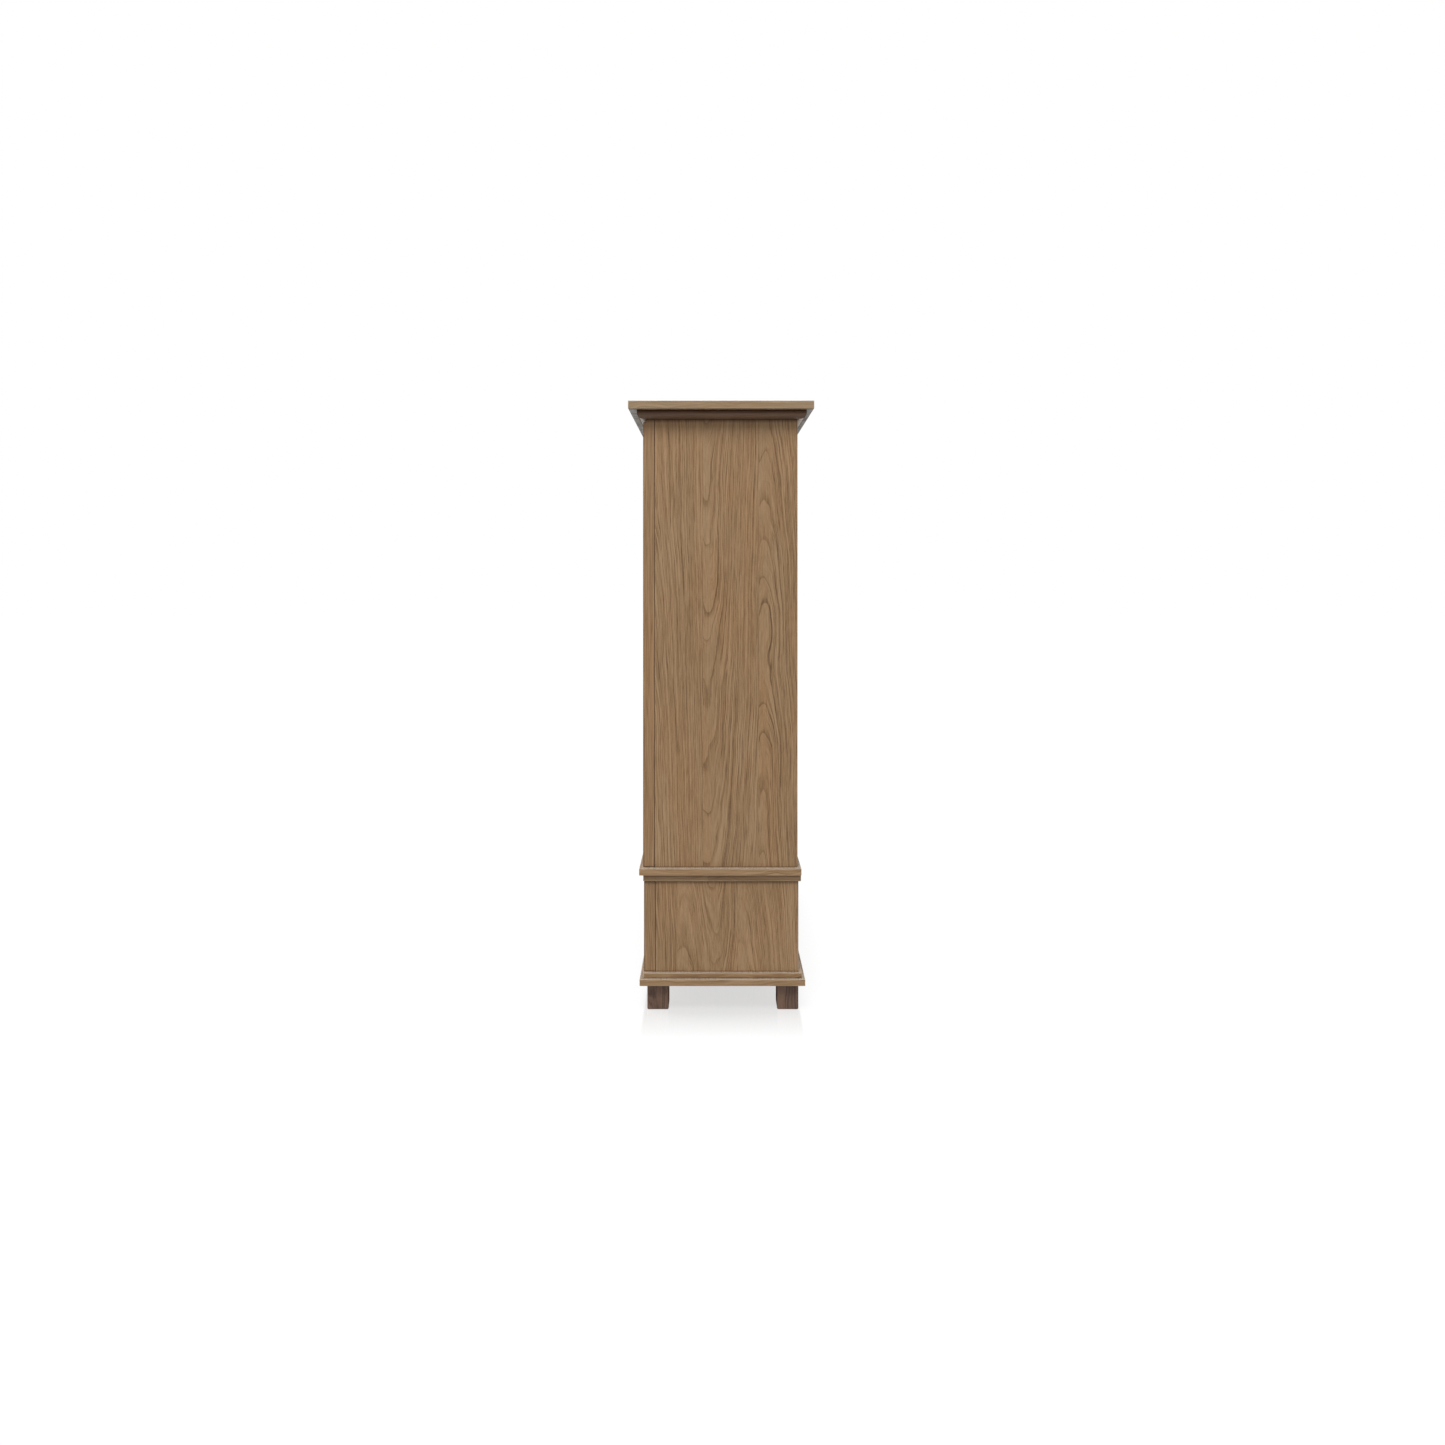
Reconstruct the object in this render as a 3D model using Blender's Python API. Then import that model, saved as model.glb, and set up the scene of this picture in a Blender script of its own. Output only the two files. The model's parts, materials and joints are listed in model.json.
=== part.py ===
"""Pantry cabinet: a tall two-door cupboard on a drawer unit with four feet.

Metres, +Z up. The front faces -Y and the floor is Z = 0. The top slab is centred on the
origin in X and Y and is the widest and deepest piece.
"""
import math
from collections import namedtuple

import bmesh
import bpy
from mathutils import Matrix, Vector

Overhang = namedtuple("Overhang", "front back side")
Layer = namedtuple("Layer", "bottom top")

# Overall size. The top slab gives the width and the depth.
WIDTH = 1.220
DEPTH = 0.610
HEIGHT = 2.016

# Clearances.
GAP = 0.0003            # between pieces fixed face to face
REVEAL = 0.003          # around the doors and the drawer front
PANEL_FLOAT = 0.001     # room for a door panel to swell in its grooves

# Layers from the floor up. The upper case takes the height that is left.
FOOT_HEIGHT = 0.088
BASE_SLAB_THICK = 0.022
BASE_STEP_THICK = 0.017
LOWER_CASE_HEIGHT = 0.300
LOWER_TOP_THICK = 0.024
WAIST_THICK = 0.023
TOP_THICK = 0.026

# How far each layer stands out from the case that it belongs to.
TOP_OVER = Overhang(front=0.055, back=0.0505, side=0.050)
WAIST_OVER = Overhang(front=0.015, back=0.0085, side=0.019)
LOWER_TOP_OVER = Overhang(front=0.0025, back=0.0085, side=0.004)
BASE_STEP_OVER = Overhang(front=0.0005, back=0.0105, side=0.012)
BASE_SLAB_OVER = Overhang(front=0.013, back=0.0205, side=0.024)

# Cases.
SIDE_THICK = 0.020
BACK_THICK = 0.006
BACK_REBATE = 0.008     # how far a back panel reaches into each side
POST_WIDTH = 0.045
POST_DEPTH = 0.039
POST_PROUD = 0.009      # upper posts in front of the doors and the top rail
POST_NECK = 0.009       # plain neck between the upper posts' face and the cornice
LOWER_SET_BACK = 0.003  # lower case behind the upper case
TOP_RAIL_DEPTH = 0.044
CORNICE_SIZE = 0.028
CORNICE_RADIUS = 0.018  # round of the cornice's lower outer corner
CORNICE_SEGMENTS = 8
FOOT_SIZE = 0.071
FOOT_FRONT_INSET = 0.011

# Shelves.
SHELF_COUNT = 3
SHELF_THICK = 0.022
SHELF_DADO = 0.006

# Doors.
DOOR_THICK = 0.022
STILE_WIDTH = 0.066
DOOR_TOP_RAIL = 0.070
DOOR_MIDDLE_RAIL = 0.070
DOOR_BOTTOM_RAIL = 0.095
MIDDLE_RAIL_HEIGHT = 0.560   # middle of the middle rail, from the foot of the door
PANEL_THICK = 0.008
GROOVE_DEPTH = 0.010
KNOB_HEIGHT = 0.640          # from the foot of the door
KNOB_PROJECTION = 0.032
KNOB_NECK_RADIUS = 0.006
KNOB_HEAD_RADIUS = 0.016
# Outline of the knob: shares of the neck's or the head's radius, at shares of the projection.
KNOB_NECK_PROFILE = ((1.7, 0.0), (1.7, 0.08), (1.0, 0.18), (1.0, 0.42))
KNOB_HEAD_PROFILE = ((0.80, 0.55), (1.0, 0.72), (0.93, 0.86), (0.62, 0.97))
KNOB_SEGMENTS = 24
CATCH_SIZE = Vector((0.060, 0.018, 0.014))

# Butt hinges.
HINGE_HEIGHT = 0.076
HINGE_INSET = 0.180          # middle of a hinge from the end of the door
LEAF_WIDTH = 0.018
KNUCKLE_COUNT = 5
KNUCKLE_RADIUS = 0.004
KNUCKLE_CLEARANCE = 0.0004
PIN_RADIUS = 0.0016
FRAME_FINGER_START = 0.0008  # where each leaf's fingers end inside the knuckles,
DOOR_FINGER_START = 0.0025   # behind the middle of the pin
HINGE_SEGMENTS = 16

# Drawer.
DRAWER_FRONT_THICK = 0.020
DRAWER_SIDE_THICK = 0.012
DRAWER_SIDE_HEIGHT = 0.215
DRAWER_BOTTOM_THICK = 0.006
DRAWER_BOTTOM_RISE = 0.012   # underside of the bottom above the drawer sides' foot
DRAWER_GROOVE = 0.006
DRAWER_BACK_CLEARANCE = 0.020
DRAWER_SIDE_CLEARANCE = 0.001
RUNNER_LEDGE = 0.012
RUNNER_GUIDE_HEIGHT = 0.030
PULL_SPACING = 0.128
PULL_PROJECTION = 0.028
PULL_RADIUS = 0.005
PULL_FOOT_RADIUS = 0.009
PULL_FOOT_THICK = 0.002
PULL_FOOT_TAPER = 0.003      # from the foot's full radius to the rod's
PULL_BEND_RADIUS = 0.012
PULL_BEND_SEGMENTS = 6

# Colour, roughness, metallic.
ASH = ("ash", (0.275, 0.171, 0.095, 1.0), 0.50, 0.0)
DARK_ASH = ("dark_ash", (0.127, 0.070, 0.048, 1.0), 0.45, 0.0)
PALE_WOOD = ("pale_wood", (0.450, 0.330, 0.200, 1.0), 0.60, 0.0)
BRONZE = ("bronze", (0.060, 0.045, 0.035, 1.0), 0.40, 1.0)
STEEL = ("steel", (0.350, 0.340, 0.320, 1.0), 0.35, 1.0)


def stack_layers():
    """Return the bottom and top of every layer, from the floor to the top slab."""
    thicknesses = {
        "foot": FOOT_HEIGHT,
        "base_slab": BASE_SLAB_THICK,
        "base_step": BASE_STEP_THICK,
        "lower_case": LOWER_CASE_HEIGHT,
        "lower_top": LOWER_TOP_THICK,
        "waist": WAIST_THICK,
    }
    layers = {}
    level = 0.0
    for name, thickness in thicknesses.items():
        layers[name] = Layer(level, level + thickness)
        level += thickness
    layers["upper_case"] = Layer(level, HEIGHT - TOP_THICK)
    layers["top"] = Layer(HEIGHT - TOP_THICK, HEIGHT)
    return layers


LAYERS = stack_layers()

# Planes of the cases: half width, front and back.
CASE_HALF = WIDTH / 2 - TOP_OVER.side
UPPER_FACE = -DEPTH / 2 + TOP_OVER.front
UPPER_FRONT = UPPER_FACE - POST_PROUD
UPPER_BACK = DEPTH / 2 - TOP_OVER.back
LOWER_FRONT = UPPER_FRONT + LOWER_SET_BACK
LOWER_BACK = UPPER_BACK + LOWER_SET_BACK
INSIDE_HALF = CASE_HALF - SIDE_THICK
OPENING_HALF = CASE_HALF - POST_WIDTH

# Doorway, and the doors in it.
DOORWAY = Layer(LAYERS["upper_case"].bottom, LAYERS["upper_case"].top - CORNICE_SIZE - POST_NECK)
DOOR = Layer(DOORWAY.bottom + REVEAL, DOORWAY.top - REVEAL)
DOOR_BACK = UPPER_FACE + DOOR_THICK
PIN_Y = UPPER_FACE - GAP - KNUCKLE_RADIUS
PIN_X = OPENING_HALF - 2 * GAP - KNUCKLE_RADIUS


def clear_scene():
    """Remove every object that is in the file."""
    for obj in list(bpy.data.objects):
        bpy.data.objects.remove(obj)


def make_material(spec):
    """Return the Principled material for a (name, colour, roughness, metallic) tuple."""
    name, colour, roughness, metallic = spec
    material = bpy.data.materials.get(name)
    if material:
        return material
    material = bpy.data.materials.new(name)
    material.use_nodes = True
    shader = material.node_tree.nodes["Principled BSDF"]
    shader.inputs["Base Color"].default_value = colour
    shader.inputs["Roughness"].default_value = roughness
    shader.inputs["Metallic"].default_value = metallic
    material.diffuse_color = colour
    return material


def add_object(name, data, spec, origin, pivot=None):
    """Link an object at a world position, under its pivot when it moves."""
    data.materials.append(make_material(spec))
    obj = bpy.data.objects.new(name, data)
    bpy.context.scene.collection.objects.link(obj)
    obj.location = origin
    if pivot:
        obj.parent = pivot
        obj.location = origin - pivot.location
    return obj


def add_pivot(name, location):
    """Add an empty on a joint's axis, for the moving pieces to hang from."""
    pivot = bpy.data.objects.new(name, None)
    bpy.context.scene.collection.objects.link(pivot)
    pivot.location = location
    return pivot


def span(side, inner, outer):
    """Return a range of X on the left (side -1) or on the right (side 1)."""
    return (inner, outer) if side > 0 else (-outer, -inner)


def block(name, spec, solids, cuts=(), pivot=None):
    """Add one closed solid: boxes joined together, less the boxes that are cut away.

    A box is three (low, high) ranges. The boxes' faces divide space into cells, and the
    solid's skin is every wall between a filled cell and an empty one.
    """
    boxes = [*solids, *cuts]
    planes = [sorted({round(edge, 7) for box in boxes for edge in box[axis]}) for axis in range(3)]
    centres = [[(low + high) / 2 for low, high in zip(line, line[1:])] for line in planes]

    def holds(box, point):
        return all(low < value < high for (low, high), value in zip(box, point))

    def is_filled(point):
        return any(holds(box, point) for box in solids) and not any(holds(box, point) for box in cuts)

    filled = set()
    for i, x in enumerate(centres[0]):
        for j, y in enumerate(centres[1]):
            for k, z in enumerate(centres[2]):
                if is_filled((x, y, z)):
                    filled.add((i, j, k))

    origin = Vector([(min(box[axis][0] for box in solids) + max(box[axis][1] for box in solids)) / 2
                     for axis in range(3)])
    mesh_data = bmesh.new()
    corners = {}

    def corner(index):
        if index not in corners:
            place = Vector([planes[axis][index[axis]] for axis in range(3)])
            corners[index] = mesh_data.verts.new(place - origin)
        return corners[index]

    for cell in sorted(filled):
        for axis in range(3):
            for step in (0, 1):
                neighbour = list(cell)
                neighbour[axis] += 1 if step else -1
                if tuple(neighbour) in filled:
                    continue
                loop = []
                for first, second in ((0, 0), (1, 0), (1, 1), (0, 1)):
                    index = list(cell)
                    index[axis] += step
                    index[(axis + 1) % 3] += first
                    index[(axis + 2) % 3] += second
                    loop.append(corner(tuple(index)))
                mesh_data.faces.new(loop if step else loop[::-1])

    bmesh.ops.dissolve_limit(mesh_data, angle_limit=math.radians(1), verts=mesh_data.verts,
                             edges=mesh_data.edges)
    mesh = bpy.data.meshes.new(name)
    mesh_data.to_mesh(mesh)
    mesh_data.free()
    return add_object(name, mesh, spec, origin, pivot)


def turned(name, spec, profile, base, axis, segments, pivot=None):
    """Add a solid of revolution from (radius, height) points, closed at both ends.

    The profile starts and ends on the axis, which runs from `base` along `axis`.
    """
    mesh_data = bmesh.new()
    turn = Vector((0, 0, 1)).rotation_difference(axis).to_matrix().to_4x4()
    rings = []
    for radius, height in profile:
        if radius == 0:
            rings.append([mesh_data.verts.new((0, 0, height))] * segments)
            continue
        angles = [2 * math.pi * step / segments for step in range(segments)]
        rings.append([mesh_data.verts.new((radius * math.cos(a), radius * math.sin(a), height))
                      for a in angles])
    for lower, upper in zip(rings, rings[1:]):
        for step in range(segments):
            after = (step + 1) % segments
            loop = [lower[step], lower[after], upper[after], upper[step]]
            mesh_data.faces.new(dict.fromkeys(loop))
    mesh_data.transform(turn)
    mesh = bpy.data.meshes.new(name)
    mesh_data.to_mesh(mesh)
    mesh_data.free()
    mesh.shade_smooth()
    return add_object(name, mesh, spec, base, pivot)


def boolean(target, tool, operation):
    """Join or cut `target` with `tool`, which stays in the file as a hidden wire shape."""
    modifier = target.modifiers.new(operation.lower(), "BOOLEAN")
    modifier.operation = operation
    modifier.solver = "EXACT"
    modifier.object = tool
    tool.hide_render = True
    tool.display_type = "WIRE"


def around(overhang, front, back):
    """Return the X and Y ranges of a layer that stands out from a case."""
    half = CASE_HALF + overhang.side
    return (-half, half), (front - overhang.front, back + overhang.back)


def build_layers():
    """Add the five boards that lie across the whole cabinet."""
    top_half = WIDTH / 2
    block("top_slab", ASH, [((-top_half, top_half), (-DEPTH / 2, DEPTH / 2), LAYERS["top"])])
    boards = {
        "waist_slab": ("waist", WAIST_OVER),
        "lower_top_board": ("lower_top", LOWER_TOP_OVER),
        "base_step": ("base_step", BASE_STEP_OVER),
        "base_slab": ("base_slab", BASE_SLAB_OVER),
    }
    for name, (layer, overhang) in boards.items():
        bottom, top = LAYERS[layer]
        x_range, y_range = around(overhang, LOWER_FRONT, LOWER_BACK)
        block(name, ASH, [(x_range, y_range, (bottom, top - GAP))])


def build_cornice():
    """Add the four mitred mouldings under the top slab, each with a rounded lower corner."""
    top = LAYERS["upper_case"].top - GAP
    bottom = top - CORNICE_SIZE
    outline = [(GAP, top), (GAP, bottom)]
    for step in range(CORNICE_SEGMENTS + 1):
        angle = math.radians(90) * step / CORNICE_SEGMENTS
        outline.append((CORNICE_SIZE - CORNICE_RADIUS * (1 - math.sin(angle)),
                        bottom + CORNICE_RADIUS * (1 - math.cos(angle))))
    outline.append((CORNICE_SIZE, top))
    middle = (UPPER_FACE + UPPER_BACK) / 2
    half_depth = (UPPER_BACK - UPPER_FACE) / 2
    runs = {
        "cornice_front": (-90, CASE_HALF, half_depth),
        "cornice_right": (0, half_depth, CASE_HALF),
        "cornice_back": (90, CASE_HALF, half_depth),
        "cornice_left": (180, half_depth, CASE_HALF),
    }
    for name, (turn, half_length, reach) in runs.items():
        add_moulding(name, outline, turn, half_length, Vector((0, middle, 0)), reach)


def add_moulding(name, outline, turn, half_length, centre, distance):
    """Add a mitred moulding that faces the direction `turn` degrees round from +X."""
    mesh_data = bmesh.new()
    ends = []
    for end in (-1, 1):
        ring = []
        for reach, height in outline:
            along = end * (half_length + reach - GAP)
            ring.append(mesh_data.verts.new((distance + reach, along, height)))
        ends.append(ring)
    first, last = ends
    mesh_data.faces.new(first)
    mesh_data.faces.new(last[::-1])
    for index in range(len(outline)):
        after = (index + 1) % len(outline)
        mesh_data.faces.new([first[index], last[index], last[after], first[after]])
    bmesh.ops.recalc_face_normals(mesh_data, faces=mesh_data.faces)
    mesh_data.transform(Matrix.Rotation(math.radians(turn), 4, "Z"))
    mesh = bpy.data.meshes.new(name)
    mesh_data.to_mesh(mesh)
    mesh_data.free()
    add_object(name, mesh, ASH, centre)


def shelf_levels():
    """Return the bottom and top of each shelf, evenly spaced in the upper case."""
    case = LAYERS["upper_case"]
    bay = (case.top - case.bottom - SHELF_COUNT * SHELF_THICK) / (SHELF_COUNT + 1)
    levels = []
    for index in range(SHELF_COUNT):
        bottom = case.bottom + bay * (index + 1) + SHELF_THICK * index
        levels.append(Layer(bottom, bottom + SHELF_THICK))
    return levels


def build_upper_case():
    """Add the sides, posts, top rail, back and shelves of the cupboard."""
    case = LAYERS["upper_case"]
    height = (case.bottom, case.top - GAP)
    post_back = UPPER_FRONT + POST_DEPTH
    back_panel_front = UPPER_BACK - BACK_THICK
    shelves = shelf_levels()
    for side, label in ((-1, "left"), (1, "right")):
        dados = [(span(side, INSIDE_HALF, INSIDE_HALF + SHELF_DADO),
                  (post_back, back_panel_front),
                  (shelf.bottom - GAP, shelf.top + GAP)) for shelf in shelves]
        rebate = (span(side, INSIDE_HALF, INSIDE_HALF + BACK_REBATE),
                  (back_panel_front - GAP, UPPER_BACK), height)
        panel = (span(side, INSIDE_HALF, CASE_HALF), (post_back + GAP, UPPER_BACK), height)
        block(f"upper_side_{label}", ASH, [panel], [*dados, rebate])
        post = (span(side, OPENING_HALF, CASE_HALF), (UPPER_FRONT, post_back), height)
        neck = (span(side, OPENING_HALF, CASE_HALF), (UPPER_FRONT, UPPER_FACE),
                (DOORWAY.top, case.top))
        block(f"upper_post_{label}", ASH, [post], [neck])

    rail_half = OPENING_HALF - GAP
    rail = ((-rail_half, rail_half), (UPPER_FACE, UPPER_FACE + TOP_RAIL_DEPTH),
            (DOORWAY.top, case.top - GAP))
    block("upper_top_rail", ASH, [rail])
    back_half = INSIDE_HALF + BACK_REBATE - GAP
    back = ((-back_half, back_half), (back_panel_front, UPPER_BACK), height)
    block("upper_back_panel", PALE_WOOD, [back])
    shelf_half = INSIDE_HALF + SHELF_DADO - GAP
    for number, shelf in enumerate(shelves, start=1):
        depth = (post_back + GAP, back_panel_front - GAP)
        block(f"shelf_{number}", PALE_WOOD, [((-shelf_half, shelf_half), depth, shelf)])


def build_lower_case():
    """Add the sides, posts and back of the drawer unit, and its runners."""
    case = LAYERS["lower_case"]
    height = (case.bottom, case.top - GAP)
    post_back = LOWER_FRONT + POST_DEPTH
    back_panel_front = LOWER_BACK - BACK_THICK
    for side, label in ((-1, "left"), (1, "right")):
        rebate = (span(side, INSIDE_HALF, INSIDE_HALF + BACK_REBATE),
                  (back_panel_front - GAP, LOWER_BACK), height)
        panel = (span(side, INSIDE_HALF, CASE_HALF), (post_back + GAP, LOWER_BACK), height)
        block(f"lower_side_{label}", ASH, [panel], [rebate])
        post = (span(side, OPENING_HALF, CASE_HALF), (LOWER_FRONT, post_back), height)
        block(f"lower_post_{label}", ASH, [post])
        drawer_half = drawer_half_width()
        depth = (post_back + GAP, back_panel_front - GAP)
        ledge = (span(side, drawer_half - DRAWER_SIDE_THICK, INSIDE_HALF - GAP), depth,
                 (case.bottom, case.bottom + RUNNER_LEDGE))
        guide = (span(side, drawer_half + DRAWER_SIDE_CLEARANCE, INSIDE_HALF - GAP), depth,
                 (case.bottom, case.bottom + RUNNER_LEDGE + RUNNER_GUIDE_HEIGHT))
        block(f"drawer_runner_{label}", PALE_WOOD, [ledge, guide])
    back_half = INSIDE_HALF + BACK_REBATE - GAP
    back = ((-back_half, back_half), (back_panel_front, LOWER_BACK), height)
    block("lower_back_panel", PALE_WOOD, [back])


def build_feet():
    """Add the four square feet under the base slab."""
    front = LOWER_FRONT + FOOT_FRONT_INSET
    rows = {"front": (front, front + FOOT_SIZE), "back": (LOWER_BACK - FOOT_SIZE, LOWER_BACK)}
    for row, depth in rows.items():
        for side, label in ((-1, "left"), (1, "right")):
            width = span(side, CASE_HALF - FOOT_SIZE, CASE_HALF)
            block(f"foot_{row}_{label}", DARK_ASH, [(width, depth, (0.0, FOOT_HEIGHT - GAP))])


def door_range(side, inner, outer):
    """Return a range of X measured from a door's hinge edge towards the middle."""
    hinge_edge = OPENING_HALF - REVEAL
    return span(side, hinge_edge - outer, hinge_edge - inner)


def build_door(side, label):
    """Add one framed door with two panels, its knob and its two hinges."""
    pivot = add_pivot(f"door_{label}_pivot", Vector((side * PIN_X, PIN_Y, DOOR.bottom)))
    door_width = OPENING_HALF - REVEAL - REVEAL / 2
    thickness = (UPPER_FACE, DOOR_BACK)
    middle_y = (UPPER_FACE + DOOR_BACK) / 2
    groove_y = (middle_y - PANEL_THICK / 2 - GAP, middle_y + PANEL_THICK / 2 + GAP)
    panel_y = (groove_y[0] + GAP, groove_y[1] - GAP)

    stiles = {
        "hinge_stile": ((0, STILE_WIDTH), (STILE_WIDTH - GROOVE_DEPTH, STILE_WIDTH)),
        "meeting_stile": ((door_width - STILE_WIDTH, door_width),
                          (door_width - STILE_WIDTH, door_width - STILE_WIDTH + GROOVE_DEPTH)),
    }
    for name, (width, groove) in stiles.items():
        block(f"door_{label}_{name}", ASH, [(door_range(side, *width), thickness, DOOR)],
              [(door_range(side, *groove), groove_y, DOOR)], pivot)

    middle = DOOR.bottom + MIDDLE_RAIL_HEIGHT
    rails = {
        "bottom_rail": (Layer(DOOR.bottom, DOOR.bottom + DOOR_BOTTOM_RAIL), ("top",)),
        "middle_rail": (Layer(middle - DOOR_MIDDLE_RAIL / 2, middle + DOOR_MIDDLE_RAIL / 2),
                        ("bottom", "top")),
        "top_rail": (Layer(DOOR.top - DOOR_TOP_RAIL, DOOR.top), ("bottom",)),
    }
    body_x = door_range(side, STILE_WIDTH + GAP, door_width - STILE_WIDTH - GAP)
    reach = GROOVE_DEPTH - GAP
    tenon_x = door_range(side, STILE_WIDTH - reach, door_width - STILE_WIDTH + reach)
    for name, (rail, grooved_edges) in rails.items():
        grooves = []
        if "top" in grooved_edges:
            grooves.append((tenon_x, groove_y, (rail.top - GROOVE_DEPTH, rail.top)))
        if "bottom" in grooved_edges:
            grooves.append((tenon_x, groove_y, (rail.bottom, rail.bottom + GROOVE_DEPTH)))
        block(f"door_{label}_{name}", ASH, [(body_x, thickness, rail), (tenon_x, panel_y, rail)],
              grooves, pivot)

    reach = GROOVE_DEPTH - PANEL_FLOAT
    panel_x = door_range(side, STILE_WIDTH - reach, door_width - STILE_WIDTH + reach)
    panels = {
        "lower_panel": (rails["bottom_rail"][0].top, rails["middle_rail"][0].bottom),
        "upper_panel": (rails["middle_rail"][0].top, rails["top_rail"][0].bottom),
    }
    for name, (bottom, top) in panels.items():
        block(f"door_{label}_{name}", ASH, [(panel_x, panel_y, (bottom - reach, top + reach))],
              pivot=pivot)

    build_knob(side, label, door_width, pivot)
    for place, level in (("lower", DOOR.bottom + HINGE_INSET), ("upper", DOOR.top - HINGE_INSET)):
        build_hinge(side, f"hinge_{label}_{place}", level, pivot)


def build_knob(side, label, door_width, pivot):
    """Add the turned knob on a door's meeting stile."""
    outline = [(KNOB_NECK_RADIUS * wide, KNOB_PROJECTION * high) for wide, high in KNOB_NECK_PROFILE]
    outline += [(KNOB_HEAD_RADIUS * wide, KNOB_PROJECTION * high) for wide, high in KNOB_HEAD_PROFILE]
    profile = [(0, 0), *outline, (0, KNOB_PROJECTION)]
    across = sum(door_range(side, door_width - STILE_WIDTH, door_width)) / 2
    base = Vector((across, UPPER_FACE - GAP, DOOR.bottom + KNOB_HEIGHT))
    turned(f"door_{label}_knob", BRONZE, profile, base, Vector((0, -1, 0)), KNOB_SEGMENTS, pivot)


def knuckle_ranges(level):
    """Return the bottom and top of each knuckle of a hinge centred on `level`."""
    pitch = HINGE_HEIGHT / KNUCKLE_COUNT
    first = level - HINGE_HEIGHT / 2
    return [Layer(first + pitch * index + KNUCKLE_CLEARANCE / 2,
                  first + pitch * (index + 1) - KNUCKLE_CLEARANCE / 2) for index in range(KNUCKLE_COUNT)]


def build_hinge(side, name, level, pivot):
    """Add a butt hinge: a leaf with the pin on the post, and a leaf on the door."""
    leaf_thick = (REVEAL - 3 * GAP) / 2
    knuckles = knuckle_ranges(level)
    height = (level - HINGE_HEIGHT / 2, level + HINGE_HEIGHT / 2)
    plate_y = (UPPER_FACE, UPPER_FACE + LEAF_WIDTH)

    frame_x = span(side, OPENING_HALF - GAP - leaf_thick, OPENING_HALF - GAP)
    own = knuckles[0::2]
    finger_y = (PIN_Y + FRAME_FINGER_START, UPPER_FACE)
    plates = [(frame_x, plate_y, height)]
    plates += [(frame_x, finger_y, knuckle) for knuckle in own]
    frame_leaf = block(f"{name}_frame_leaf", BRONZE, plates)
    profile = [(0, own[0].bottom - PIN_RADIUS), (PIN_RADIUS, own[0].bottom - PIN_RADIUS)]
    for knuckle in own:
        profile += [(PIN_RADIUS, knuckle.bottom), (KNUCKLE_RADIUS, knuckle.bottom),
                    (KNUCKLE_RADIUS, knuckle.top), (PIN_RADIUS, knuckle.top)]
    profile += [(PIN_RADIUS, own[-1].top + PIN_RADIUS), (0, own[-1].top + PIN_RADIUS)]
    barrel = turned(f"{name}_pin_shape", BRONZE, profile, Vector((side * PIN_X, PIN_Y, 0)),
                    Vector((0, 0, 1)), HINGE_SEGMENTS)
    boolean(frame_leaf, barrel, "UNION")

    door_x = span(side, OPENING_HALF - REVEAL + GAP, OPENING_HALF - REVEAL + GAP + leaf_thick)
    own = knuckles[1::2]
    finger_y = (PIN_Y + DOOR_FINGER_START, UPPER_FACE)
    plates = [(door_x, plate_y, height)]
    plates += [(door_x, finger_y, knuckle) for knuckle in own]
    door_leaf = block(f"{name}_door_leaf", BRONZE, plates, pivot=pivot)
    axis = Vector((side * PIN_X, PIN_Y, 0))
    bore = PIN_RADIUS + GAP
    for number, knuckle in enumerate(own, start=1):
        shape = turned(f"{name}_knuckle_shape_{number}", BRONZE,
                       [(0, knuckle.bottom), (KNUCKLE_RADIUS, knuckle.bottom),
                        (KNUCKLE_RADIUS, knuckle.top), (0, knuckle.top)],
                       axis, Vector((0, 0, 1)), HINGE_SEGMENTS, pivot)
        boolean(door_leaf, shape, "UNION")
    drill = turned(f"{name}_bore_shape", BRONZE,
                   [(0, height[0]), (bore, height[0]), (bore, height[1]), (0, height[1])],
                   axis, Vector((0, 0, 1)), HINGE_SEGMENTS, pivot)
    boolean(door_leaf, drill, "DIFFERENCE")


def build_catch():
    """Add the catch under the top rail that both doors close against."""
    width, depth, height = CATCH_SIZE
    top = DOORWAY.top - GAP
    block("door_catch", STEEL, [((-width / 2, width / 2),
                                 (DOOR_BACK + GAP, DOOR_BACK + GAP + depth), (top - height, top))])


def drawer_half_width():
    """Return the half width of the drawer box, which clears the posts."""
    return OPENING_HALF - REVEAL


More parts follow.
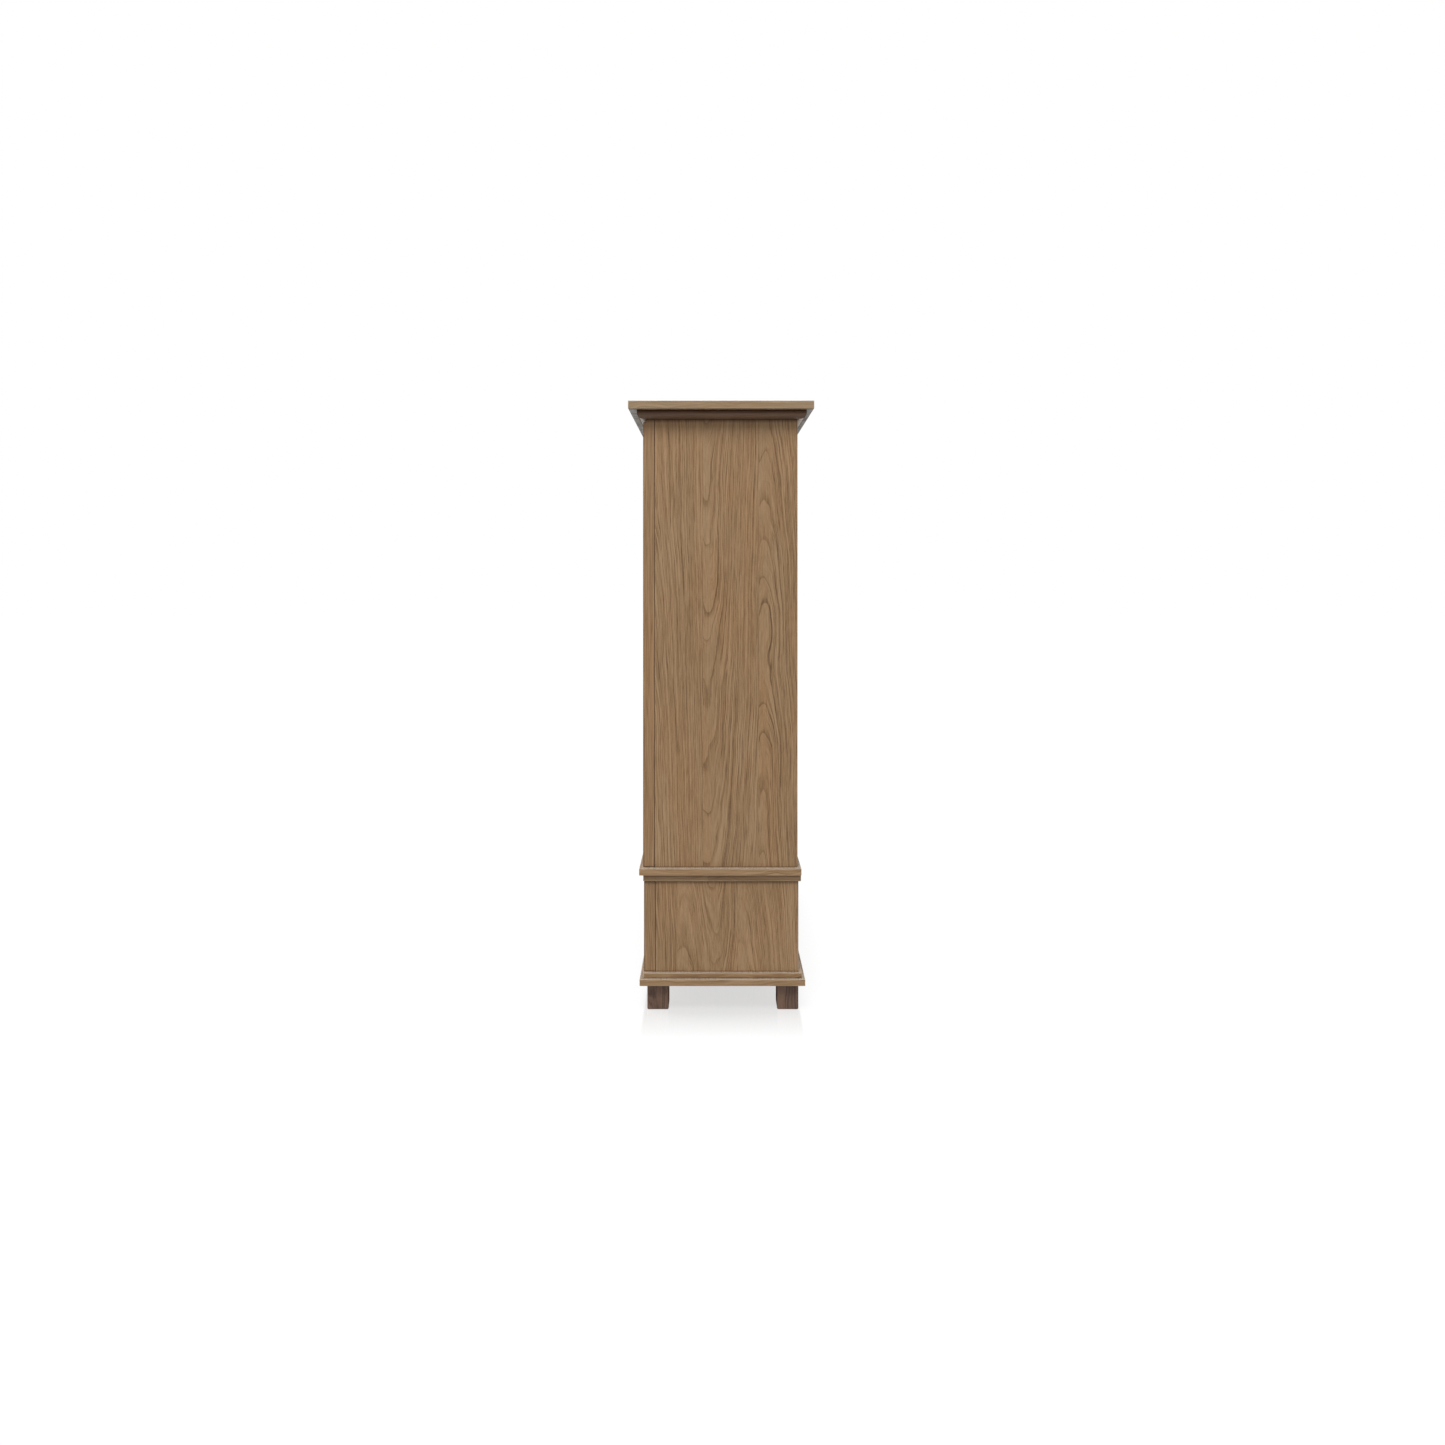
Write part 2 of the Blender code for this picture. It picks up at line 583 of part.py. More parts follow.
def build_drawer():
    """Add the drawer: front, two sides, back, bottom and pull."""
    case = LAYERS["lower_case"]
    pivot = add_pivot("drawer_slide", Vector((0, LOWER_FRONT, case.bottom)))
    front_half = OPENING_HALF - REVEAL
    front_back = LOWER_FRONT + DRAWER_FRONT_THICK
    box_back = LOWER_BACK - BACK_THICK - DRAWER_BACK_CLEARANCE
    outer = drawer_half_width()
    inner = outer - DRAWER_SIDE_THICK
    foot = case.bottom + RUNNER_LEDGE + GAP
    sides_z = (foot, foot + DRAWER_SIDE_HEIGHT)
    floor = Layer(foot + DRAWER_BOTTOM_RISE, foot + DRAWER_BOTTOM_RISE + DRAWER_BOTTOM_THICK)
    groove_z = (floor.bottom - GAP, floor.top + GAP)
    floor_half = inner + DRAWER_GROOVE - GAP

    front = ((-front_half, front_half), (LOWER_FRONT, front_back),
             (case.bottom + REVEAL, case.top - REVEAL))
    front_groove = ((-floor_half - GAP, floor_half + GAP), (front_back - DRAWER_GROOVE, front_back),
                    groove_z)
    block("drawer_front", ASH, [front], [front_groove], pivot)
    for side, label in ((-1, "left"), (1, "right")):
        board = (span(side, inner, outer), (front_back + GAP, box_back), sides_z)
        groove = (span(side, inner, inner + DRAWER_GROOVE), (front_back, box_back), groove_z)
        block(f"drawer_side_{label}", PALE_WOOD, [board], [groove], pivot)
    back = ((-inner + GAP, inner - GAP), (box_back - DRAWER_SIDE_THICK, box_back),
            (floor.top + GAP, sides_z[1]))
    block("drawer_back", PALE_WOOD, [back], pivot=pivot)
    floor_front = front_back - DRAWER_GROOVE + GAP
    bottom = ((-floor_half, floor_half), (floor_front, box_back), floor)
    block("drawer_bottom", PALE_WOOD, [bottom], pivot=pivot)
    build_pull(pivot, (case.bottom + case.top) / 2)


def build_pull(pivot, level):
    """Add the bow pull: one bent rod with its two feet on the drawer front."""
    reach = PULL_PROJECTION - PULL_RADIUS
    half = PULL_SPACING / 2
    quarter = [(Vector((half, 0, 0)), PULL_FOOT_RADIUS),
               (Vector((half, -PULL_FOOT_THICK, 0)), PULL_FOOT_RADIUS),
               (Vector((half, -PULL_FOOT_THICK - PULL_FOOT_TAPER, 0)), PULL_RADIUS)]
    for step in range(PULL_BEND_SEGMENTS + 1):
        angle = math.radians(90) * step / PULL_BEND_SEGMENTS
        across = half - PULL_BEND_RADIUS * (1 - math.cos(angle))
        forward = reach - PULL_BEND_RADIUS * (1 - math.sin(angle))
        quarter.append((Vector((across, -forward, 0)), PULL_RADIUS))
    mirrored = [(Vector((-point.x, point.y, 0)), radius) for point, radius in reversed(quarter)]
    points = quarter + mirrored
    curve = bpy.data.curves.new("drawer_pull", "CURVE")
    curve.dimensions = "3D"
    curve.bevel_depth = 1.0
    curve.bevel_resolution = 4
    curve.use_fill_caps = True
    spline = curve.splines.new("POLY")
    spline.points.add(len(points) - 1)
    for target, (point, radius) in zip(spline.points, points):
        target.co = (*point, 1)
        target.radius = radius
    add_object("drawer_pull", curve, BRONZE, Vector((0, LOWER_FRONT - GAP, level)), pivot)


def main():
    """Build the whole cabinet."""
    clear_scene()
    build_layers()
    build_cornice()
    build_upper_case()
    build_lower_case()
    build_feet()
    build_catch()
    for side, label in ((-1, "left"), (1, "right")):
        build_door(side, label)
    build_drawer()


main()
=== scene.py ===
"""Looks of the pantry cabinet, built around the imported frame.

Each board, moulding and fitting is modelled here in the place that its CAD node gives. Wooden
pieces carry a grain attribute: where each corner of each face lies in the log it was cut from.
The wood materials read that attribute, so one material serves boards that run any way.
"""
import json
import math
import random

import bmesh
import bpy
from mathutils import Matrix, Vector


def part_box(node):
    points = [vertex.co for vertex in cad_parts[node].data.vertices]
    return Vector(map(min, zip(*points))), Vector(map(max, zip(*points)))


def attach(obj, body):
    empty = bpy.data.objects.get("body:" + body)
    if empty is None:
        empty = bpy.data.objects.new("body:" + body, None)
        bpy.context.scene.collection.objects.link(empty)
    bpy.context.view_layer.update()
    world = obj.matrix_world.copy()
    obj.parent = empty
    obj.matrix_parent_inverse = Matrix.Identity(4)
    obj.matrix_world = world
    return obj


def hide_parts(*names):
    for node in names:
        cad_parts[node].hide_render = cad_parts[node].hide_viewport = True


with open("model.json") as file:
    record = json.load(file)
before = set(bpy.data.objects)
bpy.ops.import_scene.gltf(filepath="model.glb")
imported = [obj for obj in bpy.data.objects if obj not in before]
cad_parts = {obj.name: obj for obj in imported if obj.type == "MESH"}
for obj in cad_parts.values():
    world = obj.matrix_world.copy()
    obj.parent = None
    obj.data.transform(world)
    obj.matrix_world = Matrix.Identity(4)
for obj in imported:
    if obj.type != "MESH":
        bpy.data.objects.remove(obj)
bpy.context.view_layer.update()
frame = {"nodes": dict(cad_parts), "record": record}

BODY_OF = {node: body for body, nodes in frame["record"]["behaviour"]["bodies"].items()
           for node in nodes}
AXIS = {"X": 0, "Y": 1, "Z": 2}
FAR = 100.0              # stands for a height that nothing reaches
NO_NOOK = (FAR, -FAR)    # no overhang above a board, and no ledge below it

# Boards, in metres. The rounds are the radii of their edges.
SLAB_ROUND = 0.0016
STRIP_ROUND = 0.0028
BOARD_ROUND = 0.0012
POST_ROUND = 0.0026
FRAME_ROUND = 0.0008
FOOT_ROUND = 0.0045
ROUND_SEGMENTS = 3
FOOT_SEGMENTS = 5
CREASE = math.radians(25)
JOINT_GAP = 0.0001
SEAM = 0.0001            # how far a post and its side panel draw back from each other
BACK_REBATE = 0.008

# How far a face's normal has to lean for the face to count as something, as a cosine.
ROUNDED_EDGE_BELOW = 0.985       # leaning from every axis: a rounded edge, which takes wear and painted light
FACES_AXIS = 0.6         # towards an axis: the side of a slab, a ledge or an underside
PALE_COAT = 0.85         # downwards: the pale underside of a moulding

# How boards are cut. Ranges and spreads are drawn from for each board, by its name.
FLAT_PITH_SPREAD = 0.3   # as a share of the board's width
FLAT_DISTANCE = (0.045, 0.075)
FLAT_TILT = (0.04, 0.07)
RIFT_PITH = (0.13, 0.22)
RIFT_DISTANCE = (0.02, 0.06)
RIFT_TILT_SPREAD = 0.012
LOG_LENGTH = 40          # boards start anywhere along this much log
TONE_SPREAD = 0.5

# The log. A scale says how many times a noise repeats in a metre, along the grain and across it.
# A reach says how far it moves the log's centre or its rings.
WANDER_SCALE = (1.3, 3.5)
WANDER_REACH = 0.050
DRIFT_SCALE = (2.6, 5.0)
DRIFT_REACH = 0.034
RIPPLE_SCALE = (5.0, 30.0)
RIPPLE_REACH = 0.0042
YEAR_SCALE = 45.0        # how fast the rings' width changes outwards
YEAR_REACH = 2.4         # and by how many rings it is moved
RING_BAND = ((0.0, 1.0), (0.07, 0.72), (0.15, 0.26), (0.40, 0.06), (0.97, 0.0), (1.0, 1.0))
FAINTEST_RING = 0.45
RING_PATCHES = ((0.30, 0.55), (0.55, 1.0))
LAYER_SCALE = (380.0, 2.4, 9.0)      # outwards, along the grain and across it
LINE_WIDTH = 0.055
LINE_FADE = ((0.12, 0.12), (0.45, 1.0))
BROAD_SCALE = (2.6, 150.0)
FIBRE_SCALE = (7.0, 360.0)
FINE_SCALE = (30.0, 1500.0)
PORE_SCALE = (75.0, 2100.0)
PORE_CROWDING = 0.16
PORE_LEVELS = ((0.62, 0.0), (0.74, 1.0))
CLOUD_SCALE = (1.5, 9.0)
PATCH_SCALE = (5.0, 16.0)
WARM_SCALE = (2.4, 12.0)
WARM_LEVELS = ((0.40, 0.0), (0.66, 0.6))
WARM_TINT = (1.0, 0.90, 0.80, 1)

# How much each feature darkens the wood, and how dark plain wood is to start with.
DARKENS = {"ring": 0.56, "line": 0.50, "band": 1.10, "broad": 0.20, "fibre": 1.15, "fine": 0.16,
           "cloud": 0.34, "tone": 0.10, "pore": 0.16}
PLAIN_SHADE = 0.18
MIDDLE_SHADE = 0.42      # where a wood's middle colour lies between its light and its dark one

# Edge wear and painted highlight, gloss and relief.
EDGE_WEAR_AND_LIGHT_PATCHES = (0.30, 0.70)
EDGE_WEAR_AND_LIGHT_RANGE = 0.45
FIBRE_GLOSS = 0.14
PORE_GLOSS = 0.12
WOOD_SPECULAR = 0.42
FINE_RELIEF = 0.30
PORE_RELIEF = 0.60
RING_RELIEF = 0.35
WOOD_RELIEF = 0.00022

# Painted shade in corners: wood darkened where a board meets an overhang or a ledge.
PAINTED_SHADE_REACH = 0.012      # how far below an overhang the painted shade spreads
PAINTED_SHADE_LEDGE_SHRINK = 3.5        # how many times less far it spreads above a ledge
PAINTED_SHADE_LEVELS = ((0.0, 0.90), (0.22, 0.55), (1.0, 0.0))
PAINTED_SHADE_TINT = (0.20, 0.13, 0.08, 1)

# Grey coat and metal, with scales as above.
SPECKLE_SCALE = 420.0
MOTTLE_SCALE = 35.0
MOTTLE_STEPS = (0.32, 0.50, 0.68)
COAT_RELIEF = 0.0003
RUB_SCALE = 60.0
RUB_LEVELS = ((0.42, 0.0), (0.72, 0.85))
GRIT_SCALE = 900.0
GRIT_GLOSS = 0.22
SCRATCH_SCALE = (2600.0, 260.0)
METAL_RELIEF = 0.00006

# Leaves of veneer on a side panel, front to back: where the leaf ends behind the panel's front
# edge, how far its log's centre is behind its own front edge, how deep that centre is and how
# much deeper for each metre up, how far along the log it starts, and how dark it is.
UPPER_LEAVES = ((0.160, -0.045, 0.072, 0.055, 3.1, -0.25), (0.346, 0.013, 0.066, -0.052, 11.7, 0.10),
                (1.0, 0.015, 0.058, 0.056, 23.4, 0.25))
LOWER_LEAVES = ((0.072, -0.060, 0.060, 0.030, 5.3, 0.10), (0.150, 0.017, 0.060, 0.075, 31.9, -0.20),
                (0.273, 0.043, 0.056, -0.070, 42.6, 0.25), (1.0, 0.017, 0.062, 0.075, 57.2, -0.10))

# Top slab, cornice and door panels.
BACKER_END = 0.022       # wood at each end of the slab's grey underside
CORNICE_RADIUS = 0.018
CORNICE_STEPS = 12
FIELD_FLAT = 0.009       # flat border of a door panel, under the bead
FIELD_SLOPE = 0.026
FIELD_RISE = 0.0022
FIELD_SHOULDER = 0.0007
BEAD_WIDTH = 0.009
BEAD_RISE = 0.0062
BEAD_STEPS = 6
BEAD_QUIRK = 0.35        # where the bead's round starts, as a share of its width and rise
BEAD_LIP = 0.30          # how much of its rise the bead keeps at its inner edge

# Drawer.
RUNNER_PLAY = 0.001      # between a runner's guide and the drawer's side
RUNNER_DROP = 0.0003     # between a runner's ledge and the drawer's side

# Fittings. The knob's foot and head are (radius, height) points, as shares of the foot's radius
# or the head's radius, and of the knob's length. The pull's collar is (depth, share) points.
KNOB_SEGMENTS = 48
KNOB_FOOT = 0.64         # the foot's and the neck's radius, as shares of the head's
KNOB_NECK = 0.37
KNOB_FOOT_PROFILE = ((1.0, 0.0), (1.0, 0.045), (0.93, 0.075), (0.74, 0.095), (0.72, 0.13))
KNOB_HEAD_PROFILE = ((0.80, 0.50), (0.93, 0.545), (0.975, 0.59), (0.95, 0.63), (0.985, 0.655),
                     (1.0, 0.70))
KNOB_NECK_TOP = 0.70     # the neck's radius where it flares, as a share of the foot's
KNOB_NECK_SPAN = (0.15, 0.45)
KNOB_NECK_STEPS = 8
KNOB_DOME_STEPS = 12
PULL_SIDES = 20
PULL_BEND_STEPS = 10
PULL_BEND_RADIUS = 0.012
PULL_ROD_RADIUS = 0.005
PULL_COLLAR_RADIUS = 0.009
PULL_COLLAR_PROFILE = ((0.0, 0.94), (0.0004, 1.0), (0.0018, 1.0), (0.0024, 0.92), (0.0032, 0.72))
PULL_NECK_DEPTH = 0.0044
PULL_NECK_FLARE = 1.04
METAL_EDGE = 0.0002
METAL_SEGMENTS = 2
METAL_CREASE = math.radians(40)

# Stage.
FLOOR_RADIUS = 30.0
FLOOR_SIDES = 96
FLOOR_GREY = 0.20
FLOOR_ROUGHNESS = 0.12
FLOOR_IOR = 2.6
# The floor's painted shadow: a mask round the cabinet fades its real shadow into plain white.
SHADOW_CORE = (0.57, 0.25)   # half the size of the floor's darkest part, in X and Y
SHADOW_REACH = 0.26      # how far beyond that the shadow may fade away
SHADOW_FADE = ((0.05, 0.0), (0.80, 1.0))
FLOOR_GLOW = 0.65        # how brightly the floor is seen under the cabinet
FLOOR_WHITE = 1.03       # and how brightly beyond the shadow
SKY_LOW = (-0.2, 0.20)   # the surround's (height of direction, strength)
SKY_HIGH = (0.7, 0.70)
LIGHT_TARGET = (0, 0, 1.0)
SOFTBOXES = (("key", (7.0, -1.6, 12.0), 4.5, 1120), ("front", (-1.5, -4.6, 3.4), 2.5, 120),
             ("back", (-3.0, 4.2, 3.4), 2.5, 90))
CAMERA_PLACE = (3.810, -0.030, 1.461)
CAMERA_LENS = 24.36
CAMERA_SENSOR = 36
CAMERA_SHIFT = (0.0073, -0.1055)


def srgb(red, green, blue):
    """Return the linear colour of an sRGB colour given as 0 to 255."""
    def linear(value):
        value /= 255
        return value / 12.92 if value <= 0.04045 else ((value + 0.055) / 1.055) ** 2.4
    return (linear(red), linear(green), linear(blue), 1.0)


# --- Materials ---

class Nodes:
    """A material's node tree, with short ways to add to it."""

    def __init__(self, name):
        self.material = bpy.data.materials.new(name)
        self.material.use_nodes = True
        self.tree = self.material.node_tree
        self.shader = self.tree.nodes["Principled BSDF"]

    def add(self, kind, sockets, **settings):
        """Add a node, set or link its sockets, and return it."""
        node = self.tree.nodes.new("ShaderNode" + kind)
        for key, value in settings.items():
            setattr(node, key, value)
        for key, value in sockets.items():
            if isinstance(value, bpy.types.NodeSocket):
                self.tree.links.new(value, node.inputs[key])
            else:
                node.inputs[key].default_value = value
        return node

    def math(self, operation, *values):
        """Return the result of a Math node."""
        return self.add("Math", dict(enumerate(values)), operation=operation).outputs[0]

    def attribute(self, name):
        """Return a mesh attribute's node."""
        return self.add("Attribute", {}, attribute_name=name)

    def stretch(self, vector, along, across, depth):
        """Return a vector scaled by a factor for each axis."""
        scale = (along, across, depth)
        return self.add("VectorMath", {0: vector, 1: scale}, operation="MULTIPLY").outputs[0]

    def noise(self, vector, detail=2.0, roughness=0.5):
        """Return a noise value around 0.5."""
        sockets = {"Vector": vector, "Scale": 1.0, "Detail": detail, "Roughness": roughness}
        return self.add("TexNoise", sockets).outputs["Fac"]

    def streaks(self, grain, scale, detail=2.0, roughness=0.5):
        """Return noise at a scale along the grain and a scale across it."""
        along, across = scale
        return self.noise(self.stretch(grain, along, across, across), detail, roughness)

    def swing(self, value, reach):
        """Return a value around 0.5 as one around 0, times a reach."""
        return self.math("MULTIPLY_ADD", value, reach, -reach / 2)

    def ramp(self, value, stops):
        """Return a colour ramp's colour for (position, colour) stops."""
        node = self.add("ValToRGB", {"Fac": value})
        elements = node.color_ramp.elements
        while len(elements) < len(stops):
            elements.new(0.5)
        for element, (position, colour) in zip(elements, stops):
            element.position = position
            element.color = colour
        return node.outputs["Color"]

    def grey_ramp(self, value, stops):
        """Return a grey ramp's value for (position, level) stops."""
        return self.ramp(value, [(position, (level, level, level, 1)) for position, level in stops])

    def mix(self, factor, first, second, blend="MIX"):
        """Return a mix of two colours."""
        node = self.tree.nodes.new("ShaderNodeMix")
        node.data_type = "RGBA"
        node.blend_type = blend
        for key, value in ((0, factor), (6, first), (7, second)):
            if isinstance(value, bpy.types.NodeSocket):
                self.tree.links.new(value, node.inputs[key])
            else:
                node.inputs[key].default_value = value
        return node.outputs[2]

    def bump(self, height, distance, strength=1.0):
        """Feed a height into the shader's normal."""
        node = self.add("Bump", {"Height": height, "Distance": distance, "Strength": strength})
        self.tree.links.new(node.outputs["Normal"], self.shader.inputs["Normal"])

    def shade(self, **sockets):
        """Set or link the shader's own sockets, named with _ for a space."""
        for key, value in sockets.items():
            socket = self.shader.inputs[key.replace("_", " ")]
            if isinstance(value, bpy.types.NodeSocket):
                self.tree.links.new(value, socket)
            else:
                socket.default_value = value


def around_pith(nodes, grain):
    """Return a point's place along and across a log that isn't straight, and its ring's radius."""
    along, across, depth = nodes.add("SeparateXYZ", {0: grain}).outputs
    wander = nodes.streaks(grain, WANDER_SCALE)
    drift = nodes.streaks(grain, DRIFT_SCALE, detail=3.0)
    ripple = nodes.streaks(grain, RIPPLE_SCALE)
    across = nodes.math("ADD", across, nodes.swing(wander, WANDER_REACH))
    depth = nodes.math("ADD", depth, nodes.swing(drift, DRIFT_REACH))
    squares = nodes.math("ADD", nodes.math("MULTIPLY", across, across),
                         nodes.math("MULTIPLY", depth, depth))
    radius = nodes.math("ADD", nodes.math("SQRT", squares), nodes.swing(ripple, RIPPLE_REACH))
    return along, across, radius


def growth_rings(nodes, radius, pitch, patchy):
    """Return uneven rings. Each starts with a dark porous band and fades to plain wood."""
    year = nodes.add("CombineXYZ", {0: nodes.math("MULTIPLY", radius, YEAR_SCALE)}).outputs[0]
    shift = nodes.math("MULTIPLY", nodes.noise(year, detail=1.0), YEAR_REACH)
    count = nodes.math("ADD", nodes.math("DIVIDE", radius, pitch), shift)
    ring = nodes.grey_ramp(nodes.math("FRACT", count), RING_BAND)
    season = nodes.add("CombineXYZ", {0: nodes.math("FLOOR", count)}).outputs[0]
    strength = nodes.add("TexWhiteNoise", {"Vector": season}).outputs["Value"]
    strength = nodes.math("MULTIPLY_ADD", strength, 1 - FAINTEST_RING, FAINTEST_RING)
    ring = nodes.math("MULTIPLY", ring, strength)
    return nodes.math("MULTIPLY", ring, nodes.grey_ramp(patchy, RING_PATCHES))


def ring_layers(nodes, along, across, radius):
    """Return thin lines and soft bands along the rings. Both fade where a ring lies flat."""
    slope = nodes.math("DIVIDE", nodes.math("ABSOLUTE", across), radius)
    steep = nodes.grey_ramp(slope, LINE_FADE)
    places = [nodes.math("MULTIPLY", value, scale)
              for value, scale in zip((radius, along, across), LAYER_SCALE)]
    layer = nodes.add("CombineXYZ", dict(enumerate(places))).outputs[0]
    swing = nodes.math("SUBTRACT", nodes.noise(layer), 0.5)
    lines = nodes.grey_ramp(nodes.math("ABSOLUTE", swing), [(0.0, 1.0), (LINE_WIDTH, 0.0)])
    return nodes.math("MULTIPLY", lines, steep), nodes.math("MULTIPLY_ADD", swing, steep, 0.5)


def paint_corner_shade(nodes, colour):
    """Return a colour with painted shade: darkened where a board meets an overhang or a ledge."""
    below, above, _ = nodes.add("SeparateXYZ", {0: nodes.attribute("nook").outputs["Vector"]}).outputs
    nearest = nodes.math("MINIMUM", below, nodes.math("MULTIPLY", above, PAINTED_SHADE_LEDGE_SHRINK))
    corner_shade = nodes.grey_ramp(nodes.math("DIVIDE", nearest, PAINTED_SHADE_REACH), PAINTED_SHADE_LEVELS)
    return nodes.mix(corner_shade, colour, PAINTED_SHADE_TINT, "MULTIPLY")


def wood(name, light, middle, dark, edge_wear_and_painted_light, ring_pitch=0.0088, roughness=0.50, figure=1.0,
         least_edge_wear_and_light=0.15):
    """Return open-grained wood: growth rings, fibres and pores around the log's pith."""
    nodes = Nodes(name)
    grain = nodes.attribute("grain").outputs["Vector"]
    patchy = nodes.streaks(grain, PATCH_SCALE, detail=3.0)
    along, across, radius = around_pith(nodes, grain)
    ring = growth_rings(nodes, radius, ring_pitch, patchy)
    lines, bands = ring_layers(nodes, along, across, radius)

    # Fibres at three widths, and the pores, which crowd in the rings' dark bands.
    broad = nodes.streaks(grain, BROAD_SCALE)
    fibre = nodes.streaks(grain, FIBRE_SCALE, detail=3.0, roughness=0.65)
    fine = nodes.streaks(grain, FINE_SCALE)
    dash = nodes.streaks(grain, PORE_SCALE, detail=1.0)
    pores = nodes.grey_ramp(nodes.math("MULTIPLY_ADD", ring, PORE_CROWDING, dash), PORE_LEVELS)
    cloud = nodes.streaks(grain, CLOUD_SCALE)

    # How dark the wood is, from 0 to 1 with plain wood near 0.4.
    shade = nodes.math("MULTIPLY_ADD", ring, DARKENS["ring"] * figure, PLAIN_SHADE)
    tone = nodes.attribute("tone").outputs["Fac"]
    for value, feature in ((lines, "line"), (pores, "pore"), (tone, "tone")):
        shade = nodes.math("MULTIPLY_ADD", value, DARKENS[feature], shade)
    for value, feature in ((bands, "band"), (broad, "broad"), (fibre, "fibre"), (fine, "fine"),
                           (cloud, "cloud")):
        shade = nodes.math("ADD", shade, nodes.swing(value, DARKENS[feature]))
    colour = nodes.ramp(shade, [(0.0, light), (MIDDLE_SHADE, middle), (1.0, dark)])
    warmth = nodes.grey_ramp(nodes.streaks(grain, WARM_SCALE), WARM_LEVELS)
    colour = nodes.mix(warmth, colour, WARM_TINT, "MULTIPLY")
    # Rounded edges take the edge colour: wear and a painted highlight.
    least, most = EDGE_WEAR_AND_LIGHT_PATCHES
    edge_wear_and_light = nodes.grey_ramp(patchy, [(least, least_edge_wear_and_light), (most, least_edge_wear_and_light + EDGE_WEAR_AND_LIGHT_RANGE)])
    edge_wear_and_light = nodes.math("MULTIPLY", nodes.attribute("edge_wear_and_light").outputs["Fac"], edge_wear_and_light)
    # Painted shade where a board meets an overhang or a ledge.
    colour = paint_corner_shade(nodes, nodes.mix(edge_wear_and_light, colour, edge_wear_and_painted_light))

    gloss = nodes.math("ADD", nodes.swing(fibre, FIBRE_GLOSS), roughness)
    gloss = nodes.math("MULTIPLY_ADD", pores, PORE_GLOSS, gloss)
    nodes.shade(Base_Color=colour, Roughness=gloss, Specular_IOR_Level=WOOD_SPECULAR)
    height = nodes.math("MULTIPLY", fine, FINE_RELIEF)
    height = nodes.math("MULTIPLY_ADD", pores, -PORE_RELIEF, height)
    height = nodes.math("MULTIPLY_ADD", ring, -RING_RELIEF, height)
    nodes.bump(height, WOOD_RELIEF, 0.8)
    return nodes.material


def backer(name, dark, middle, light):
    """Return a grey sealing coat: mottled like paper."""
    nodes = Nodes(name)
    place = nodes.add("TexCoord", {}).outputs["Object"]
    speckle = nodes.streaks(place, (SPECKLE_SCALE, SPECKLE_SCALE), detail=4.0, roughness=0.7)
    cloud = nodes.streaks(place, (MOTTLE_SCALE, MOTTLE_SCALE), detail=3.0)
    mottle = nodes.math("MULTIPLY_ADD", cloud, 0.5, nodes.math("MULTIPLY", speckle, 0.5))
    colour = nodes.ramp(mottle, list(zip(MOTTLE_STEPS, (dark, middle, light))))
    nodes.shade(Base_Color=colour, Roughness=0.85)
    nodes.bump(speckle, COAT_RELIEF, 0.6)
    return nodes.material


def metal(name, base, rubbed, roughness):
    """Return aged metal: a dark finish that is rubbed brighter in patches and finely scratched."""
    nodes = Nodes(name)
    place = nodes.add("TexCoord", {}).outputs["Object"]
    patches = nodes.streaks(place, (RUB_SCALE, RUB_SCALE), detail=5.0, roughness=0.6)
    grit = nodes.streaks(place, (GRIT_SCALE, GRIT_SCALE), detail=3.0)
    across, along = SCRATCH_SCALE
    scratches = nodes.noise(nodes.stretch(place, across, along, across))
    colour = nodes.mix(nodes.grey_ramp(patches, RUB_LEVELS), base, rubbed)
    gloss = nodes.math("ADD", nodes.swing(grit, GRIT_GLOSS), roughness)
    nodes.shade(Base_Color=colour, Metallic=1.0, Roughness=gloss)
    nodes.bump(nodes.math("ADD", grit, scratches), METAL_RELIEF, 0.6)
    return nodes.material


ASH = wood("brown_ash", srgb(172, 141, 107), srgb(151, 120, 85), srgb(96, 71, 46),
           srgb(206, 187, 165))
QUIET_ASH = wood("brown_ash_quiet", srgb(171, 140, 106), srgb(150, 119, 84), srgb(96, 71, 46),
                 srgb(206, 187, 165), figure=0.55)
# Upward ledge faces outside the case: lighter, greyer wood that paints the sheen they catch at a
# grazing angle.
PAINTED_SHEEN_ASH = wood("brown_ash_painted_sheen", srgb(166, 150, 132), srgb(148, 131, 113), srgb(104, 88, 72),
                 srgb(206, 192, 176), figure=0.6)
# The posts' rounded edges are painted dark: painted shade where an edge turns away from the light.
POST_ASH = wood("brown_ash_solid", srgb(168, 135, 100), srgb(149, 117, 82), srgb(106, 76, 50),
                srgb(84, 60, 40), ring_pitch=0.0062, figure=0.6, least_edge_wear_and_light=0.30)
EDGE_ASH = wood("brown_ash_edge", srgb(173, 149, 119), srgb(155, 131, 101), srgb(115, 92, 66),
                srgb(204, 190, 168), ring_pitch=0.0066, figure=0.5)
FOOT_ASH = wood("dark_ash", srgb(124, 95, 78), srgb(101, 77, 63), srgb(58, 41, 33),
                srgb(138, 108, 88), ring_pitch=0.0060, roughness=0.46, figure=0.8)
# The cornice's wood is darker: painted shade under the top slab's overhang.
CORNICE_ASH = wood("cornice_ash_painted_shade", srgb(116, 87, 66), srgb(98, 71, 52), srgb(62, 42, 30),
                   srgb(128, 102, 80), ring_pitch=0.0062, figure=0.6)
INNER_ASH = wood("inner_ash", srgb(188, 163, 132), srgb(172, 145, 112), srgb(128, 100, 72),
                 srgb(190, 166, 138), roughness=0.58, figure=0.8)
BACKER = backer("grey_backer", srgb(120, 122, 121), srgb(182, 184, 182), srgb(224, 226, 224))
PALE_BACKER = backer("pale_backer", srgb(176, 172, 167), srgb(226, 222, 216), srgb(246, 243, 238))
BRONZE = metal("aged_bronze", srgb(62, 52, 44), srgb(120, 98, 76), 0.42)
STEEL = metal("brushed_steel", srgb(150, 148, 144), srgb(190, 188, 184), 0.38)


# --- How boards are cut from the log ---

